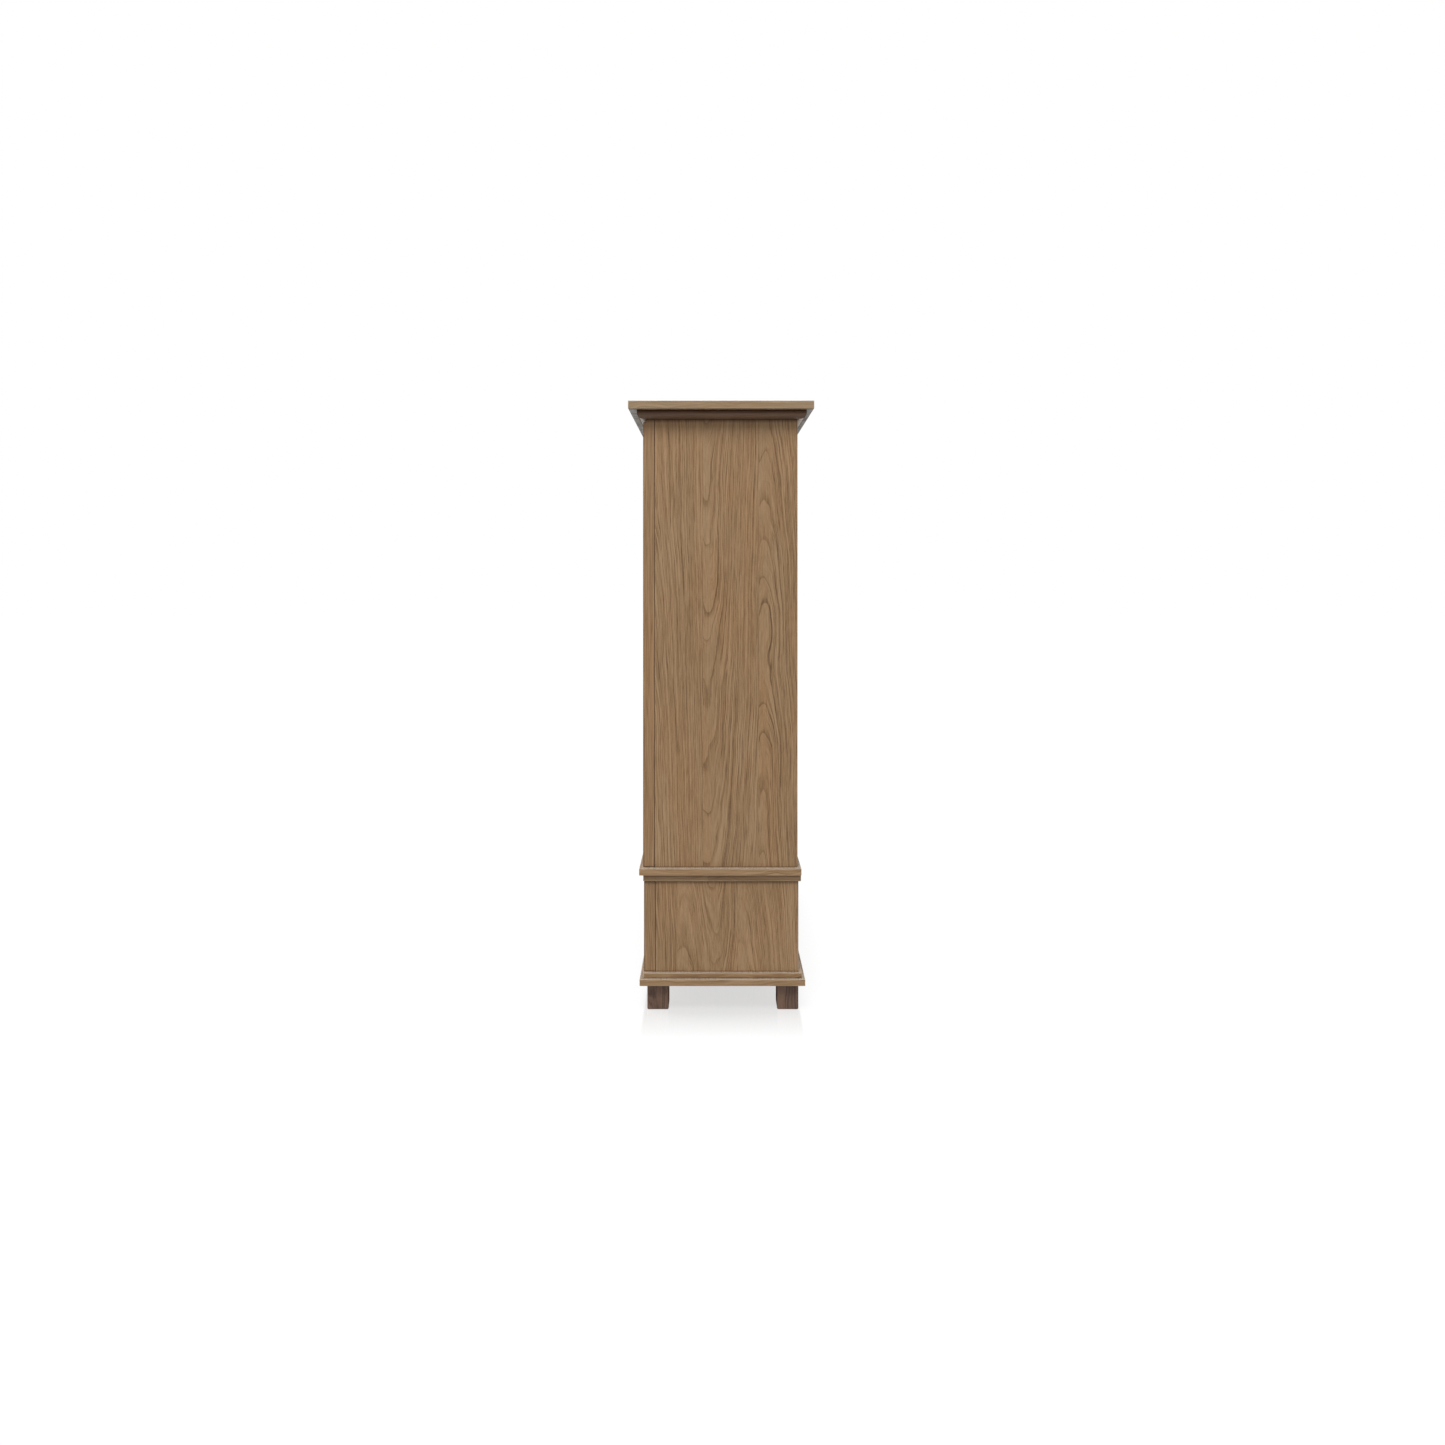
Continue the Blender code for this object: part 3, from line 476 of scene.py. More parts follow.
class Cut:
    """Where a board lies in its log. `axes` names its length, width and thickness, as in ZYX.

    `pith` is how far the log's centre is to one side of the board's middle, and `distance` how
    far it is behind the board's face. The distance grows by `tilt` for each metre of length.
    """

    def __init__(self, axes, low, high, pith, distance, tilt, start=0.0, tone=0.0):
        self.order = [AXIS[letter] for letter in axes]
        self.centre = (Vector(low) + Vector(high)) / 2
        self.pith = pith
        self.distance = distance
        self.tilt = tilt
        self.start = start
        self.tone = tone

    def place(self, point):
        """Return a point's place in the log: along it, and across and deep from the pith."""
        along, across, depth = (point[axis] - self.centre[axis] for axis in self.order)
        return (along + self.start, across - self.pith, self.distance + self.tilt * along + depth)


def flat_sawn(seed, axes, low, high):
    """Return a cut near the log's centre, whose rings make tall arches on the face."""
    pick = random.Random(seed)
    width = high[AXIS[axes[1]]] - low[AXIS[axes[1]]]
    return Cut(axes, low, high, pith=pick.uniform(-FLAT_PITH_SPREAD, FLAT_PITH_SPREAD) * width,
               distance=pick.uniform(*FLAT_DISTANCE),
               tilt=pick.choice((-1, 1)) * pick.uniform(*FLAT_TILT),
               start=pick.uniform(0, LOG_LENGTH), tone=pick.uniform(-TONE_SPREAD, TONE_SPREAD))


def rift_sawn(seed, axes, low, high):
    """Return a cut well to one side of the log's centre, whose rings run straight."""
    pick = random.Random(seed)
    return Cut(axes, low, high, pith=pick.choice((-1, 1)) * pick.uniform(*RIFT_PITH),
               distance=pick.uniform(*RIFT_DISTANCE),
               tilt=pick.uniform(-RIFT_TILT_SPREAD, RIFT_TILT_SPREAD),
               start=pick.uniform(0, LOG_LENGTH), tone=pick.uniform(-TONE_SPREAD, TONE_SPREAD))


def one_cut(cut):
    """Return the rule for a solid board: every face belongs to the same cut."""
    return lambda centre, normal: cut


def banded(seed, low, high):
    """Return the rule for a veneered slab along X whose edges are banded along their length."""
    face = flat_sawn(seed, "XYZ", low, high)
    front = rift_sawn(seed + " front", "XZY", low, high)
    end = rift_sawn(seed + " end", "YZX", low, high)

    def choose(centre, normal):
        if abs(normal.x) > FACES_AXIS:
            return end
        if abs(normal.y) > FACES_AXIS:
            return front
        return face
    return choose


def find_nooks():
    """Return, for each board that meets one, the heights of the overhang and ledge it meets, which
    place the painted shade.
    """
    def top(node):
        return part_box(node)[1][2]

    def bottom(node):
        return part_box(node)[0][2]
    nooks = {"lower_top_board": (bottom("waist_slab"), -FAR), "base_step": (FAR, top("base_slab"))}
    for label in ("left", "right"):
        for kind in ("side", "post"):
            nooks[f"upper_{kind}_{label}"] = (bottom("cornice_left"), top("waist_slab"))
            nooks[f"lower_{kind}_{label}"] = (bottom("lower_top_board"), top("base_step"))
        for row in ("front", "back"):
            nooks[f"foot_{row}_{label}"] = (bottom("base_slab"), -FAR)
    return nooks


def mark_grain(mesh, cut_of, nook):
    """Write the grain, nook, tone and edge attributes that the wood materials read. The nook places
    painted shade, and the edge mark places wear and painted light on rounded edges.
    """
    kinds = {"grain": "FLOAT_VECTOR", "nook": "FLOAT_VECTOR", "tone": "FLOAT", "edge_wear_and_light": "FLOAT"}
    for name, kind in kinds.items():
        mesh.attributes.new(name, kind, "CORNER")
    grain, nooks, tone, edge_wear_and_light = (mesh.attributes[name].data for name in kinds)
    for face in mesh.polygons:
        cut = cut_of(face.center, face.normal)
        edge_wear_and_painted_light = float(max(abs(part) for part in face.normal) < ROUNDED_EDGE_BELOW)
        for loop in face.loop_indices:
            point = mesh.vertices[mesh.loops[loop].vertex_index].co
            grain[loop].vector = cut.place(point)
            nooks[loop].vector = (nook[0] - point.z, point.z - nook[1], 0)
            tone[loop].value = cut.tone
            edge_wear_and_light[loop].value = edge_wear_and_painted_light


NOOKS = find_nooks()


# --- Shapes ---

def add_piece(name, shape, body, materials, cut_of=None, nodes=(), nook=NO_NOOK):
    """Turn a bmesh into a smooth piece that rides on a body and stands for its CAD nodes."""
    mesh = bpy.data.meshes.new(name)
    shape.to_mesh(mesh)
    shape.free()
    for material in materials:
        mesh.materials.append(material)
    if cut_of:
        mark_grain(mesh, cut_of, nook)
    mesh.shade_smooth()
    piece = bpy.data.objects.new(name, mesh)
    bpy.context.scene.collection.objects.link(piece)
    normals = piece.modifiers.new("normals", "WEIGHTED_NORMAL")
    normals.keep_sharp = True
    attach(piece, body)
    if nodes:
        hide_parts(*nodes)
    return piece


def stand_for(node, shape, materials, cut_of=None):
    """Add the piece that stands for one CAD node."""
    return add_piece(f"{node}_piece", shape, BODY_OF[node], materials, cut_of, [node],
                     NOOKS.get(node, NO_NOOK))


def soften(shape, radius, segments=ROUND_SEGMENTS):
    """Round every edge of a shape where two faces meet at an angle."""
    edges = [edge for edge in shape.edges
             if len(edge.link_faces) == 2 and edge.calc_face_angle() > CREASE]
    bmesh.ops.bevel(shape, geom=edges, offset=radius, segments=segments, profile=0.5,
                    affect="EDGES", clamp_overlap=True)


def box_shape(low, high, radius, segments=ROUND_SEGMENTS):
    """Return a box with rounded edges."""
    shape = bmesh.new()
    size = Vector(high) - Vector(low)
    middle = (Vector(high) + Vector(low)) / 2
    bmesh.ops.create_cube(shape, size=1.0)
    bmesh.ops.scale(shape, vec=size, verts=shape.verts)
    bmesh.ops.translate(shape, vec=middle, verts=shape.verts)
    soften(shape, radius, segments)
    return shape


def prism_shape(outline, axis, start, end, radius):
    """Return an outline in the other two axes, in X, Y, Z order, extruded along one axis."""
    shape = bmesh.new()
    others = [index for index in range(3) if index != AXIS[axis]]
    rings = []
    for level in (start, end):
        ring = []
        for first, second in outline:
            place = Vector((0, 0, 0))
            place[others[0]] = first
            place[others[1]] = second
            place[AXIS[axis]] = level
            ring.append(shape.verts.new(place))
        rings.append(ring)
    lower, upper = rings
    shape.faces.new(lower)
    shape.faces.new(upper[::-1])
    for index in range(len(outline)):
        after = (index + 1) % len(outline)
        shape.faces.new([lower[index], upper[index], upper[after], lower[after]])
    bmesh.ops.recalc_face_normals(shape, faces=shape.faces)
    soften(shape, radius)
    return shape


def turned_shape(profile, base, axis, segments):
    """Return a solid of revolution from (radius, height) points that start and end on the axis."""
    shape = bmesh.new()
    rings = []
    for radius, height in profile:
        if radius == 0:
            rings.append([shape.verts.new((0, 0, height))] * segments)
            continue
        angles = [2 * math.pi * step / segments for step in range(segments)]
        rings.append([shape.verts.new((radius * math.cos(angle), radius * math.sin(angle), height))
                      for angle in angles])
    for lower, upper in zip(rings, rings[1:]):
        for step in range(segments):
            after = (step + 1) % segments
            corners = dict.fromkeys([lower[step], lower[after], upper[after], upper[step]])
            shape.faces.new(corners)
    turn = Vector((0, 0, 1)).rotation_difference(Vector(axis)).to_matrix().to_4x4()
    shape.transform(Matrix.Translation(base) @ turn)
    return shape


def arc(centre, radius, start, end, steps):
    """Return points on an arc, from one angle to another in degrees."""
    points = []
    for step in range(steps + 1):
        angle = math.radians(start + (end - start) * step / steps)
        points.append((centre[0] + radius * math.cos(angle), centre[1] + radius * math.sin(angle)))
    return points


# --- Boards ---

def split(shape, axis, level):
    """Cut a shape's faces along a plane across one axis."""
    place = Vector((0, 0, 0))
    place[axis] = level
    normal = Vector((0, 0, 0))
    normal[axis] = 1
    everything = shape.verts[:] + shape.edges[:] + shape.faces[:]
    bmesh.ops.bisect_plane(shape, geom=everything, plane_co=place, plane_no=normal)


def mark_overhang(shape, case, facing):
    """Give a slab's second material to what lies outside its case, turned up (1) or down (-1)."""
    low = (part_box(f"{case}_side_left")[0][0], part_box(f"{case}_post_left")[0][1])
    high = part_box(f"{case}_side_right")[1][:2]
    for axis in (0, 1):
        split(shape, axis, low[axis])
        split(shape, axis, high[axis])
    for face in shape.faces:
        middle = face.calc_center_median()
        inside = all(low[axis] < middle[axis] < high[axis] for axis in (0, 1))
        face.material_index = int(face.normal.z * facing > FACES_AXIS and not inside)


def build_slabs():
    """Add the boards that lie across the whole cabinet.

    Outside the case, the top slab is grey underneath, and the others have a lighter, greyer ledge on
    top: a painted sheen.
    """
    for node in ("top_slab", "waist_slab", "lower_top_board", "base_step", "base_slab"):
        low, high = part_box(node)
        shape = box_shape(low, high, STRIP_ROUND if node == "lower_top_board" else SLAB_ROUND)
        if node == "top_slab":
            materials = [EDGE_ASH, BACKER]
            for end in (low[0] + BACKER_END, high[0] - BACKER_END):
                split(shape, 0, end)
            mark_overhang(shape, "upper", -1)
            for face in shape.faces:
                if abs(face.calc_center_median().x) > high[0] - BACKER_END:
                    face.material_index = 0
        else:
            materials = [ASH, PAINTED_SHEEN_ASH]
            mark_overhang(shape, "lower" if node.startswith("base") else "upper", 1)
        stand_for(node, shape, materials, banded(node, low, high))


def side_leaves(low, high, leaves, side):
    """Return the rule for a side panel laid up from leaves of veneer."""
    middle = (low[1] + high[1]) / 2
    start = low[1]
    cuts = []
    for end, pith, distance, tilt, offset, tone in leaves:
        cuts.append(Cut("ZYX", low, high, start + pith - middle, distance, tilt, offset + side, tone))
        start = low[1] + end

    def choose(centre, normal):
        return cuts[sum(centre.y > low[1] + leaf[0] for leaf in leaves[:-1])]
    return choose


def build_sides():
    """Add the four side panels, each rebated for the back and laid up from veneer leaves."""
    for case, leaves, material in (("upper", UPPER_LEAVES, ASH), ("lower", LOWER_LEAVES, QUIET_ASH)):
        back_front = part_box(f"{case}_back_panel")[0][1]
        for side, label in ((-1, "left"), (1, "right")):
            node = f"{case}_side_{label}"
            low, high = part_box(node)
            inner, outer = (high[0], low[0]) if side < 0 else (low[0], high[0])
            rebate = inner + side * BACK_REBATE
            front = low[1] + SEAM
            outline = [(outer, front), (outer, high[1]), (rebate, high[1]),
                       (rebate, back_front), (inner, back_front), (inner, front)]
            shape = prism_shape(outline, "Z", low[2], high[2], FRAME_ROUND)
            for leaf in leaves[:-1]:
                split(shape, 1, low[1] + leaf[0])
            stand_for(node, shape, [material], side_leaves(low, high, leaves, side))


def build_posts():
    """Add the corner posts. The upper ones step back at the top, under the cornice."""
    neck_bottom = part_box("upper_top_rail")[0][2]
    neck_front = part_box("upper_top_rail")[0][1]
    for label in ("left", "right"):
        low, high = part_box(f"upper_post_{label}")
        back = high[1] - SEAM
        outline = [(low[1], low[2]), (back, low[2]), (back, high[2]), (neck_front, high[2]),
                   (neck_front, neck_bottom), (low[1], neck_bottom)]
        shape = prism_shape(outline, "X", low[0], high[0], POST_ROUND)
        cut = rift_sawn(f"upper post {label}", "ZYX", low, high)
        stand_for(f"upper_post_{label}", shape, [POST_ASH], one_cut(cut))
        low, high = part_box(f"lower_post_{label}")
        high = (high[0], high[1] - SEAM, high[2])
        cut = rift_sawn(f"lower post {label}", "ZYX", low, high)
        stand_for(f"lower_post_{label}", box_shape(low, high, POST_ROUND), [POST_ASH], one_cut(cut))


def build_plain_boards():
    """Add the top rail, the backs and the shelves, which are plain boxes."""
    boards = [("upper_top_rail", "XZY", ASH, BOARD_ROUND),
              ("upper_back_panel", "ZXY", INNER_ASH, FRAME_ROUND),
              ("lower_back_panel", "XZY", INNER_ASH, FRAME_ROUND)]
    for node, axes, material, radius in boards:
        low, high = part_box(node)
        stand_for(node, box_shape(low, high, radius), [material],
                  one_cut(flat_sawn(node, axes, low, high)))
    inside_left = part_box("upper_side_left")[1][0]
    inside_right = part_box("upper_side_right")[0][0]
    for number in (1, 2, 3):
        node = f"shelf_{number}"
        low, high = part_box(node)
        low = (inside_left + JOINT_GAP, low[1], low[2])
        high = (inside_right - JOINT_GAP, high[1], high[2])
        stand_for(node, box_shape(low, high, BOARD_ROUND), [INNER_ASH], banded(node, low, high))


def build_feet():
    """Add the four feet, with well rounded edges."""
    for row in ("front", "back"):
        for label in ("left", "right"):
            node = f"foot_{row}_{label}"
            low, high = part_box(node)
            cut = rift_sawn(node, "ZXY", low, high)
            shape = box_shape(low, high, FOOT_ROUND, FOOT_SEGMENTS)
            stand_for(node, shape, [FOOT_ASH], one_cut(cut))


# --- Mouldings ---

def build_cornice():
    """Add the four mitred runs of moulding under the top slab.

    The front and back runs have a pale sealing coat underneath.
    """
    for label, outward in (("front", (0, -1)), ("back", (0, 1)), ("left", (-1, 0)), ("right", (1, 0))):
        node = f"cornice_{label}"
        low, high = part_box(node)
        across = 0 if outward[0] else 1
        along = 1 - across
        size = high[across] - low[across]
        wall = low[across] if outward[across] > 0 else high[across]
        outline = [(0, high[2]), (0, low[2])]
        outline += arc((size - CORNICE_RADIUS, low[2] + CORNICE_RADIUS), CORNICE_RADIUS, -90, 0,
                       CORNICE_STEPS)
        outline.append((size, high[2]))
        shape = bmesh.new()
        rings = []
        for end, sign in ((low[along], 1), (high[along], -1)):
            ring = []
            for reach, height in outline:
                place = Vector((0, 0, height))
                place[across] = wall + outward[across] * reach
                place[along] = end + sign * (size - reach)
                ring.append(shape.verts.new(place))
            rings.append(ring)
        first, last = rings
        shape.faces.new(first)
        shape.faces.new(last)
        for index in range(len(outline)):
            after = (index + 1) % len(outline)
            shape.faces.new([first[index], last[index], last[after], first[after]])
        bmesh.ops.recalc_face_normals(shape, faces=shape.faces)
        axes = "XZY" if along == 0 else "YZX"
        materials = [CORNICE_ASH]
        if across == 1:
            materials.append(PALE_BACKER)
            for face in shape.faces:
                face.material_index = int(face.normal.z < -PALE_COAT)
        stand_for(node, shape, materials, one_cut(rift_sawn(node, axes, low, high)))


def bead_shape(low, high, back):
    """Return a mitred bead round an opening, lying on a panel whose front is at Y = back."""
    outline = [(0, 0), (0, BEAD_RISE)]
    outline += arc((BEAD_WIDTH * BEAD_QUIRK, BEAD_RISE * BEAD_QUIRK), BEAD_RISE * (1 - BEAD_QUIRK),
                   90, 0, BEAD_STEPS)
    outline += [(BEAD_WIDTH, BEAD_RISE * BEAD_LIP), (BEAD_WIDTH, 0)]
    shape = bmesh.new()
    loops = []
    for inset, rise in outline:
        left = low[0] + inset
        right = high[0] - inset
        bottom = low[2] + inset
        top = high[2] - inset
        corners = ((left, bottom), (right, bottom), (right, top), (left, top))
        loops.append([shape.verts.new((x, back - rise, z)) for x, z in corners])
    for index, loop in enumerate(loops):
        following = loops[(index + 1) % len(loops)]
        for corner in range(4):
            after = (corner + 1) % 4
            shape.faces.new([loop[corner], loop[after], following[after], following[corner]])
    bmesh.ops.recalc_face_normals(shape, faces=shape.faces)
    return shape


def bead_cut(seed, low, high):
    """Return the rule for a bead: its uprights' grain runs up, and its rails' grain across."""
    upright = rift_sawn(seed + " upright", "ZXY", low, high)
    level = rift_sawn(seed + " level", "XZY", low, high)

    def choose(centre, normal):
        from_side = min(centre.x - low[0], high[0] - centre.x)
        from_end = min(centre.z - low[2], high[2] - centre.z)
        return upright if from_side < from_end else level
    return choose


def panel_shape(low, high, front, back):
    """Return a door panel: flat behind, and in front a field raised inside a sloping border."""
    levels = [(0, back), (0, front), (FIELD_FLAT, front),
              (FIELD_FLAT + FIELD_SLOPE, front - FIELD_RISE),
              (FIELD_FLAT + FIELD_SLOPE + FIELD_SHOULDER / 2, front - FIELD_RISE - FIELD_SHOULDER)]
    shape = bmesh.new()
    loops = []
    for inset, depth in levels:
        corners = ((low[0] + inset, low[2] + inset), (high[0] - inset, low[2] + inset),
                   (high[0] - inset, high[2] - inset), (low[0] + inset, high[2] - inset))
        loops.append([shape.verts.new((x, depth, z)) for x, z in corners])
    for loop, following in zip(loops, loops[1:]):
        for corner in range(4):
            after = (corner + 1) % 4
            shape.faces.new([loop[corner], loop[after], following[after], following[corner]])
    shape.faces.new(loops[0])
    shape.faces.new(loops[-1])
    bmesh.ops.recalc_face_normals(shape, faces=shape.faces)
    return shape


# --- Doors ---

def build_door(label):
    """Add a door's frame, its raised panels and their beads, and its knob."""
    door = f"door_{label}"
    for stile in ("hinge_stile", "meeting_stile"):
        node = f"{door}_{stile}"
        low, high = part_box(node)
        cut = rift_sawn(node, "ZXY", low, high)
        stand_for(node, box_shape(low, high, FRAME_ROUND), [ASH], one_cut(cut))

    stiles = [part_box(f"{door}_hinge_stile"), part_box(f"{door}_meeting_stile")]
    stiles.sort(key=lambda box: box[0][0])
    left = stiles[0][1][0]
    right = stiles[1][0][0]
    for rail in ("bottom_rail", "middle_rail", "top_rail"):
        node = f"{door}_{rail}"
        low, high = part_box(node)
        low = (left + JOINT_GAP, low[1], low[2])
        high = (right - JOINT_GAP, high[1], high[2])
        cut = rift_sawn(node, "XZY", low, high)
        stand_for(node, box_shape(low, high, FRAME_ROUND), [ASH], one_cut(cut))

    for panel, below, above in (("lower_panel", "bottom_rail", "middle_rail"),
                                ("upper_panel", "middle_rail", "top_rail")):
        node = f"{door}_{panel}"
        front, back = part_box(node)[0][1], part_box(node)[1][1]
        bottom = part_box(f"{door}_{below}")[1][2]
        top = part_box(f"{door}_{above}")[0][2]
        low = Vector((left + JOINT_GAP, front, bottom + JOINT_GAP))
        high = Vector((right - JOINT_GAP, back, top - JOINT_GAP))
        stand_for(node, panel_shape(low, high, front, back), [ASH],
                  one_cut(flat_sawn(node, "ZXY", low, high)))
        add_piece(f"{node}_bead", bead_shape(low, high, front), door, [ASH],
                  bead_cut(node, low, high))
    build_knob(f"{door}_knob")


def build_knob(node):
    """Add a turned knob: a stepped foot, a waisted neck and a domed head with a fine bead."""
    low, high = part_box(node)
    middle = (Vector(low) + Vector(high)) / 2
    length = high[1] - low[1]
    head = (high[0] - low[0]) / 2
    foot = head * KNOB_FOOT
    neck = head * KNOB_NECK
    profile = [(0, 0)]
    profile += [(foot * radius, length * height) for radius, height in KNOB_FOOT_PROFILE]
    neck_start, neck_end = KNOB_NECK_SPAN
    for step in range(KNOB_NECK_STEPS + 1):
        share = step / KNOB_NECK_STEPS
        waist = neck + (foot * KNOB_NECK_TOP - neck) * (2 * share - 1) ** 2
        profile.append((waist, length * (neck_start + (neck_end - neck_start) * share)))
    profile += [(head * radius, length * height) for radius, height in KNOB_HEAD_PROFILE]
    dome_start = KNOB_HEAD_PROFILE[-1][1]
    for step in range(1, KNOB_DOME_STEPS):
        angle = math.radians(90) * step / KNOB_DOME_STEPS
        height = dome_start + (1 - dome_start) * math.sin(angle)
        profile.append((head * math.cos(angle), length * height))
    profile.append((0, length))
    base = (middle.x, high[1], middle.z)
    stand_for(node, turned_shape(profile, base, (0, -1, 0), KNOB_SEGMENTS), [BRONZE])


# --- Drawer ---

def build_drawer():
    """Add the drawer's front, box, runners and pull."""
    low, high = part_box("drawer_front")
    stand_for("drawer_front", box_shape(low, high, BOARD_ROUND), [ASH],
              one_cut(flat_sawn("drawer front", "XZY", low, high)))
    inner_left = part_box("drawer_side_left")[1][0]
    inner_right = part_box("drawer_side_right")[0][0]
    for label in ("left", "right"):
        node = f"drawer_side_{label}"
        low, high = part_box(node)
        stand_for(node, box_shape(low, high, BOARD_ROUND), [INNER_ASH],
                  one_cut(rift_sawn(node, "YZX", low, high)))
        build_runner(f"drawer_runner_{label}", label)
    low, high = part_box("drawer_back")
    stand_for("drawer_back", box_shape(low, high, BOARD_ROUND), [INNER_ASH],
              one_cut(rift_sawn("drawer back", "XZY", low, high)))
    low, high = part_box("drawer_bottom")
    front_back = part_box("drawer_front")[1][1]
    low = (inner_left + JOINT_GAP, front_back + JOINT_GAP, low[2])
    high = (inner_right - JOINT_GAP, high[1], high[2])
    stand_for("drawer_bottom", box_shape(low, high, FRAME_ROUND), [INNER_ASH],
              one_cut(flat_sawn("drawer bottom", "XYZ", low, high)))
    build_pull()


def build_runner(node, label):
    """Add a runner: a ledge that carries the drawer's side, and a guide beside it."""
    low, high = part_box(node)
    drawer_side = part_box(f"drawer_side_{label}")
    ledge_top = drawer_side[0][2] - RUNNER_DROP
    if label == "left":
        inner, outer, guide = high[0], low[0], drawer_side[0][0] - RUNNER_PLAY
    else:
        inner, outer, guide = low[0], high[0], drawer_side[1][0] + RUNNER_PLAY
    outline = [(outer, low[2]), (outer, high[2]), (guide, high[2]), (guide, ledge_top),
               (inner, ledge_top), (inner, low[2])]
    shape = prism_shape(outline, "Y", low[1], high[1], FRAME_ROUND)
    stand_for(node, shape, [INNER_ASH], one_cut(rift_sawn(node, "YXZ", low, high)))


def build_pull():
    """Add the drawer's bow pull: a bent rod whose two feet flare into collars."""
    low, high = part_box("drawer_pull")
    level = (low[2] + high[2]) / 2
    base = high[1]
    half = (high[0] - low[0]) / 2 - PULL_COLLAR_RADIUS
    reach = high[1] - low[1] - PULL_ROD_RADIUS
    points = [(Vector((half, base - depth, level)), PULL_COLLAR_RADIUS * share)
              for depth, share in PULL_COLLAR_PROFILE]
    points.append((Vector((half, base - PULL_NECK_DEPTH, level)), PULL_ROD_RADIUS * PULL_NECK_FLARE))
    for step in range(PULL_BEND_STEPS + 1):
        angle = math.radians(90) * step / PULL_BEND_STEPS
        across = half - PULL_BEND_RADIUS * (1 - math.cos(angle))
        forward = reach - PULL_BEND_RADIUS * (1 - math.sin(angle))
        points.append((Vector((across, base - forward, level)), PULL_ROD_RADIUS))
    points += [(Vector((-place.x, place.y, place.z)), radius) for place, radius in reversed(points)]
    shape = bmesh.new()
    rings = []
    for index, (place, radius) in enumerate(points):
        before = points[max(index - 1, 0)][0]
        after = points[min(index + 1, len(points) - 1)][0]
        heading = (after - before).normalized()
        sideways = heading.cross(Vector((0, 0, 1))).normalized()
        ring = []
        for step in range(PULL_SIDES):
            angle = 2 * math.pi * step / PULL_SIDES
            offset = sideways * math.cos(angle) + Vector((0, 0, 1)) * math.sin(angle)
            ring.append(shape.verts.new(place + offset * radius))
        rings.append(ring)
    for ring, following in zip(rings, rings[1:]):
        for step in range(PULL_SIDES):
            after = (step + 1) % PULL_SIDES
            shape.faces.new([ring[step], ring[after], following[after], following[step]])
    shape.faces.new(rings[0])
    shape.faces.new(rings[-1])
    bmesh.ops.recalc_face_normals(shape, faces=shape.faces)
    stand_for("drawer_pull", shape, [BRONZE])


# --- Hinges and catch ---

def dress_hardware():
    """Give the CAD hinges and the catch their metal, with softened edges."""
    for name, node in frame["nodes"].items():
        if not name.startswith("hinge_") and name != "door_catch":
            continue
        node.data.materials.clear()
        node.data.materials.append(STEEL if name == "door_catch" else BRONZE)
        edges = node.modifiers.new("edges", "BEVEL")
        edges.width = METAL_EDGE
        edges.segments = METAL_SEGMENTS
        edges.limit_method = "ANGLE"
        edges.angle_limit = METAL_CREASE


# --- Stage ---

def build_floor():
    """Add the pale floor. Seen directly it glows: near the cabinet it shows its real shadows and
    reflections under a dimmer glow, and a mask fades them into plain white farther out, so the soft
    shadow's reach is painted.
    """
    shape = bmesh.new()
    bmesh.ops.create_circle(shape, cap_ends=True, segments=FLOOR_SIDES, radius=FLOOR_RADIUS)
    mesh = bpy.data.meshes.new("floor")
    shape.to_mesh(mesh)
    shape.free()
    floor = bpy.data.objects.new("floor", mesh)
    bpy.context.scene.collection.objects.link(floor)
    nodes = Nodes("floor")
    nodes.shade(Base_Color=(FLOOR_GREY, FLOOR_GREY, FLOOR_GREY, 1), Roughness=FLOOR_ROUGHNESS,
                Specular_IOR_Level=1.0, IOR=FLOOR_IOR)
    seen = nodes.add("LightPath", {}).outputs["Is Camera Ray"]
    place = nodes.add("TexCoord", {}).outputs["Object"]
    sides = nodes.add("SeparateXYZ", {0: place}).outputs
    # Painted shadow: a mask from 0 near the cabinet's footprint to 1 beyond the shadow's reach.
    beyond = []
    for side, half in zip(sides, SHADOW_CORE):
        outside = nodes.math("SUBTRACT", nodes.math("ABSOLUTE", side), half)
        outside = nodes.math("MAXIMUM", outside, 0.0)
        beyond.append(nodes.math("MULTIPLY", outside, outside))
    away = nodes.math("SQRT", nodes.math("ADD", *beyond))
    fade = nodes.grey_ramp(nodes.math("DIVIDE", away, SHADOW_REACH), SHADOW_FADE)
    fade = nodes.math("MULTIPLY", fade, seen)
    gone = nodes.add("Emission", {"Strength": 0.0})
    blend = nodes.add("MixShader", {0: fade, 1: nodes.shader.outputs[0], 2: gone.outputs[0]})
    level = nodes.math("MULTIPLY_ADD", fade, FLOOR_WHITE - FLOOR_GLOW, FLOOR_GLOW)
    level = nodes.math("MULTIPLY", level, seen)
    glow = nodes.add("Emission", {"Color": (1, 1, 1, 1), "Strength": level})
    total = nodes.add("AddShader", {0: blend.outputs[0], 1: glow.outputs[0]})
    nodes.tree.links.new(total.outputs[0], nodes.tree.nodes["Material Output"].inputs["Surface"])
    mesh.materials.append(nodes.material)


def add_softbox(name, place, size, power):
    """Add a square area light that faces the cabinet."""
    light = bpy.data.lights.new(name, "AREA")
    light.shape = "SQUARE"
    light.size = size
    light.energy = power
    softbox = bpy.data.objects.new(name, light)
    bpy.context.scene.collection.objects.link(softbox)
    softbox.location = place
    towards = Vector(LIGHT_TARGET) - Vector(place)
    softbox.rotation_euler = towards.to_track_quat("-Z", "Y").to_euler()


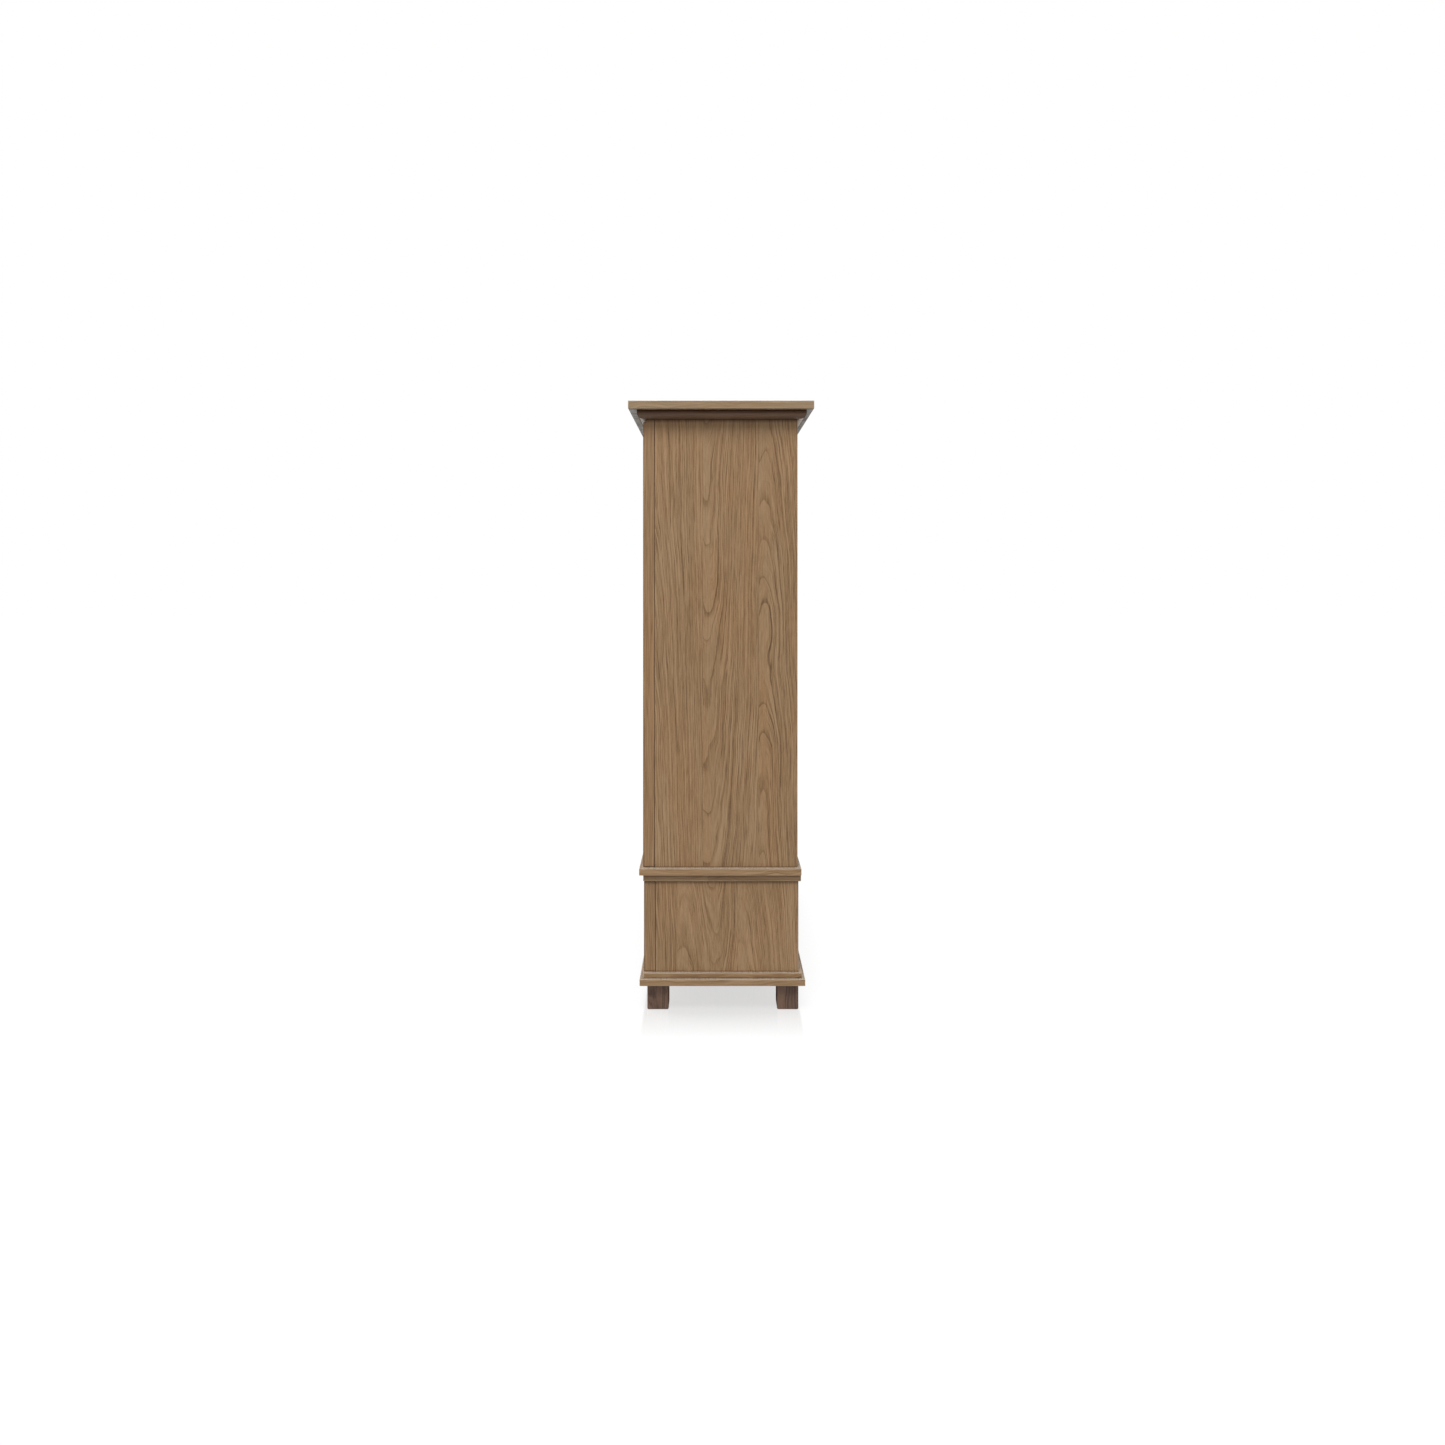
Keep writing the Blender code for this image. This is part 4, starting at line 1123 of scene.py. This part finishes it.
def build_light():
    """Add a white studio: an even surround that the camera sees as white, and softboxes."""
    world = bpy.data.worlds.new("studio")
    bpy.context.scene.world = world
    world.use_nodes = True
    tree = world.node_tree
    surround = tree.nodes["Background"]
    direction = tree.nodes.new("ShaderNodeTexCoord")
    parts = tree.nodes.new("ShaderNodeSeparateXYZ")
    sky = tree.nodes.new("ShaderNodeMapRange")
    tree.links.new(direction.outputs["Generated"], parts.inputs[0])
    tree.links.new(parts.outputs["Z"], sky.inputs["Value"])
    tree.links.new(sky.outputs["Result"], surround.inputs["Strength"])
    for end, (height, strength) in (("Min", SKY_LOW), ("Max", SKY_HIGH)):
        sky.inputs[f"From {end}"].default_value = height
        sky.inputs[f"To {end}"].default_value = strength
    surround.inputs["Color"].default_value = (1, 1, 1, 1)
    backdrop = tree.nodes.new("ShaderNodeBackground")
    backdrop.inputs["Color"].default_value = (1, 1, 1, 1)
    seen = tree.nodes.new("ShaderNodeLightPath")
    blend = tree.nodes.new("ShaderNodeMixShader")
    tree.links.new(seen.outputs["Is Camera Ray"], blend.inputs[0])
    tree.links.new(surround.outputs[0], blend.inputs[1])
    tree.links.new(backdrop.outputs[0], blend.inputs[2])
    tree.links.new(blend.outputs[0], tree.nodes["World Output"].inputs["Surface"])
    for name, place, size, power in SOFTBOXES:
        add_softbox(name, place, size, power)


def build_camera():
    """Add the camera: level, at the cabinet's right-hand side, well above its middle."""
    camera = bpy.data.cameras.new("camera")
    viewer = bpy.data.objects.new("camera", camera)
    bpy.context.scene.collection.objects.link(viewer)
    viewer.location = CAMERA_PLACE
    viewer.rotation_euler = (math.radians(90), 0, math.radians(90))
    camera.sensor_width = CAMERA_SENSOR
    camera.lens = CAMERA_LENS
    camera.shift_x, camera.shift_y = CAMERA_SHIFT
    bpy.context.scene.camera = viewer


build_camera()
build_slabs()
build_sides()
build_posts()
build_plain_boards()
build_feet()
build_cornice()
for door_label in ("left", "right"):
    build_door(door_label)
build_drawer()
dress_hardware()
build_floor()
build_light()
bpy.context.scene.view_settings.view_transform = "Standard"
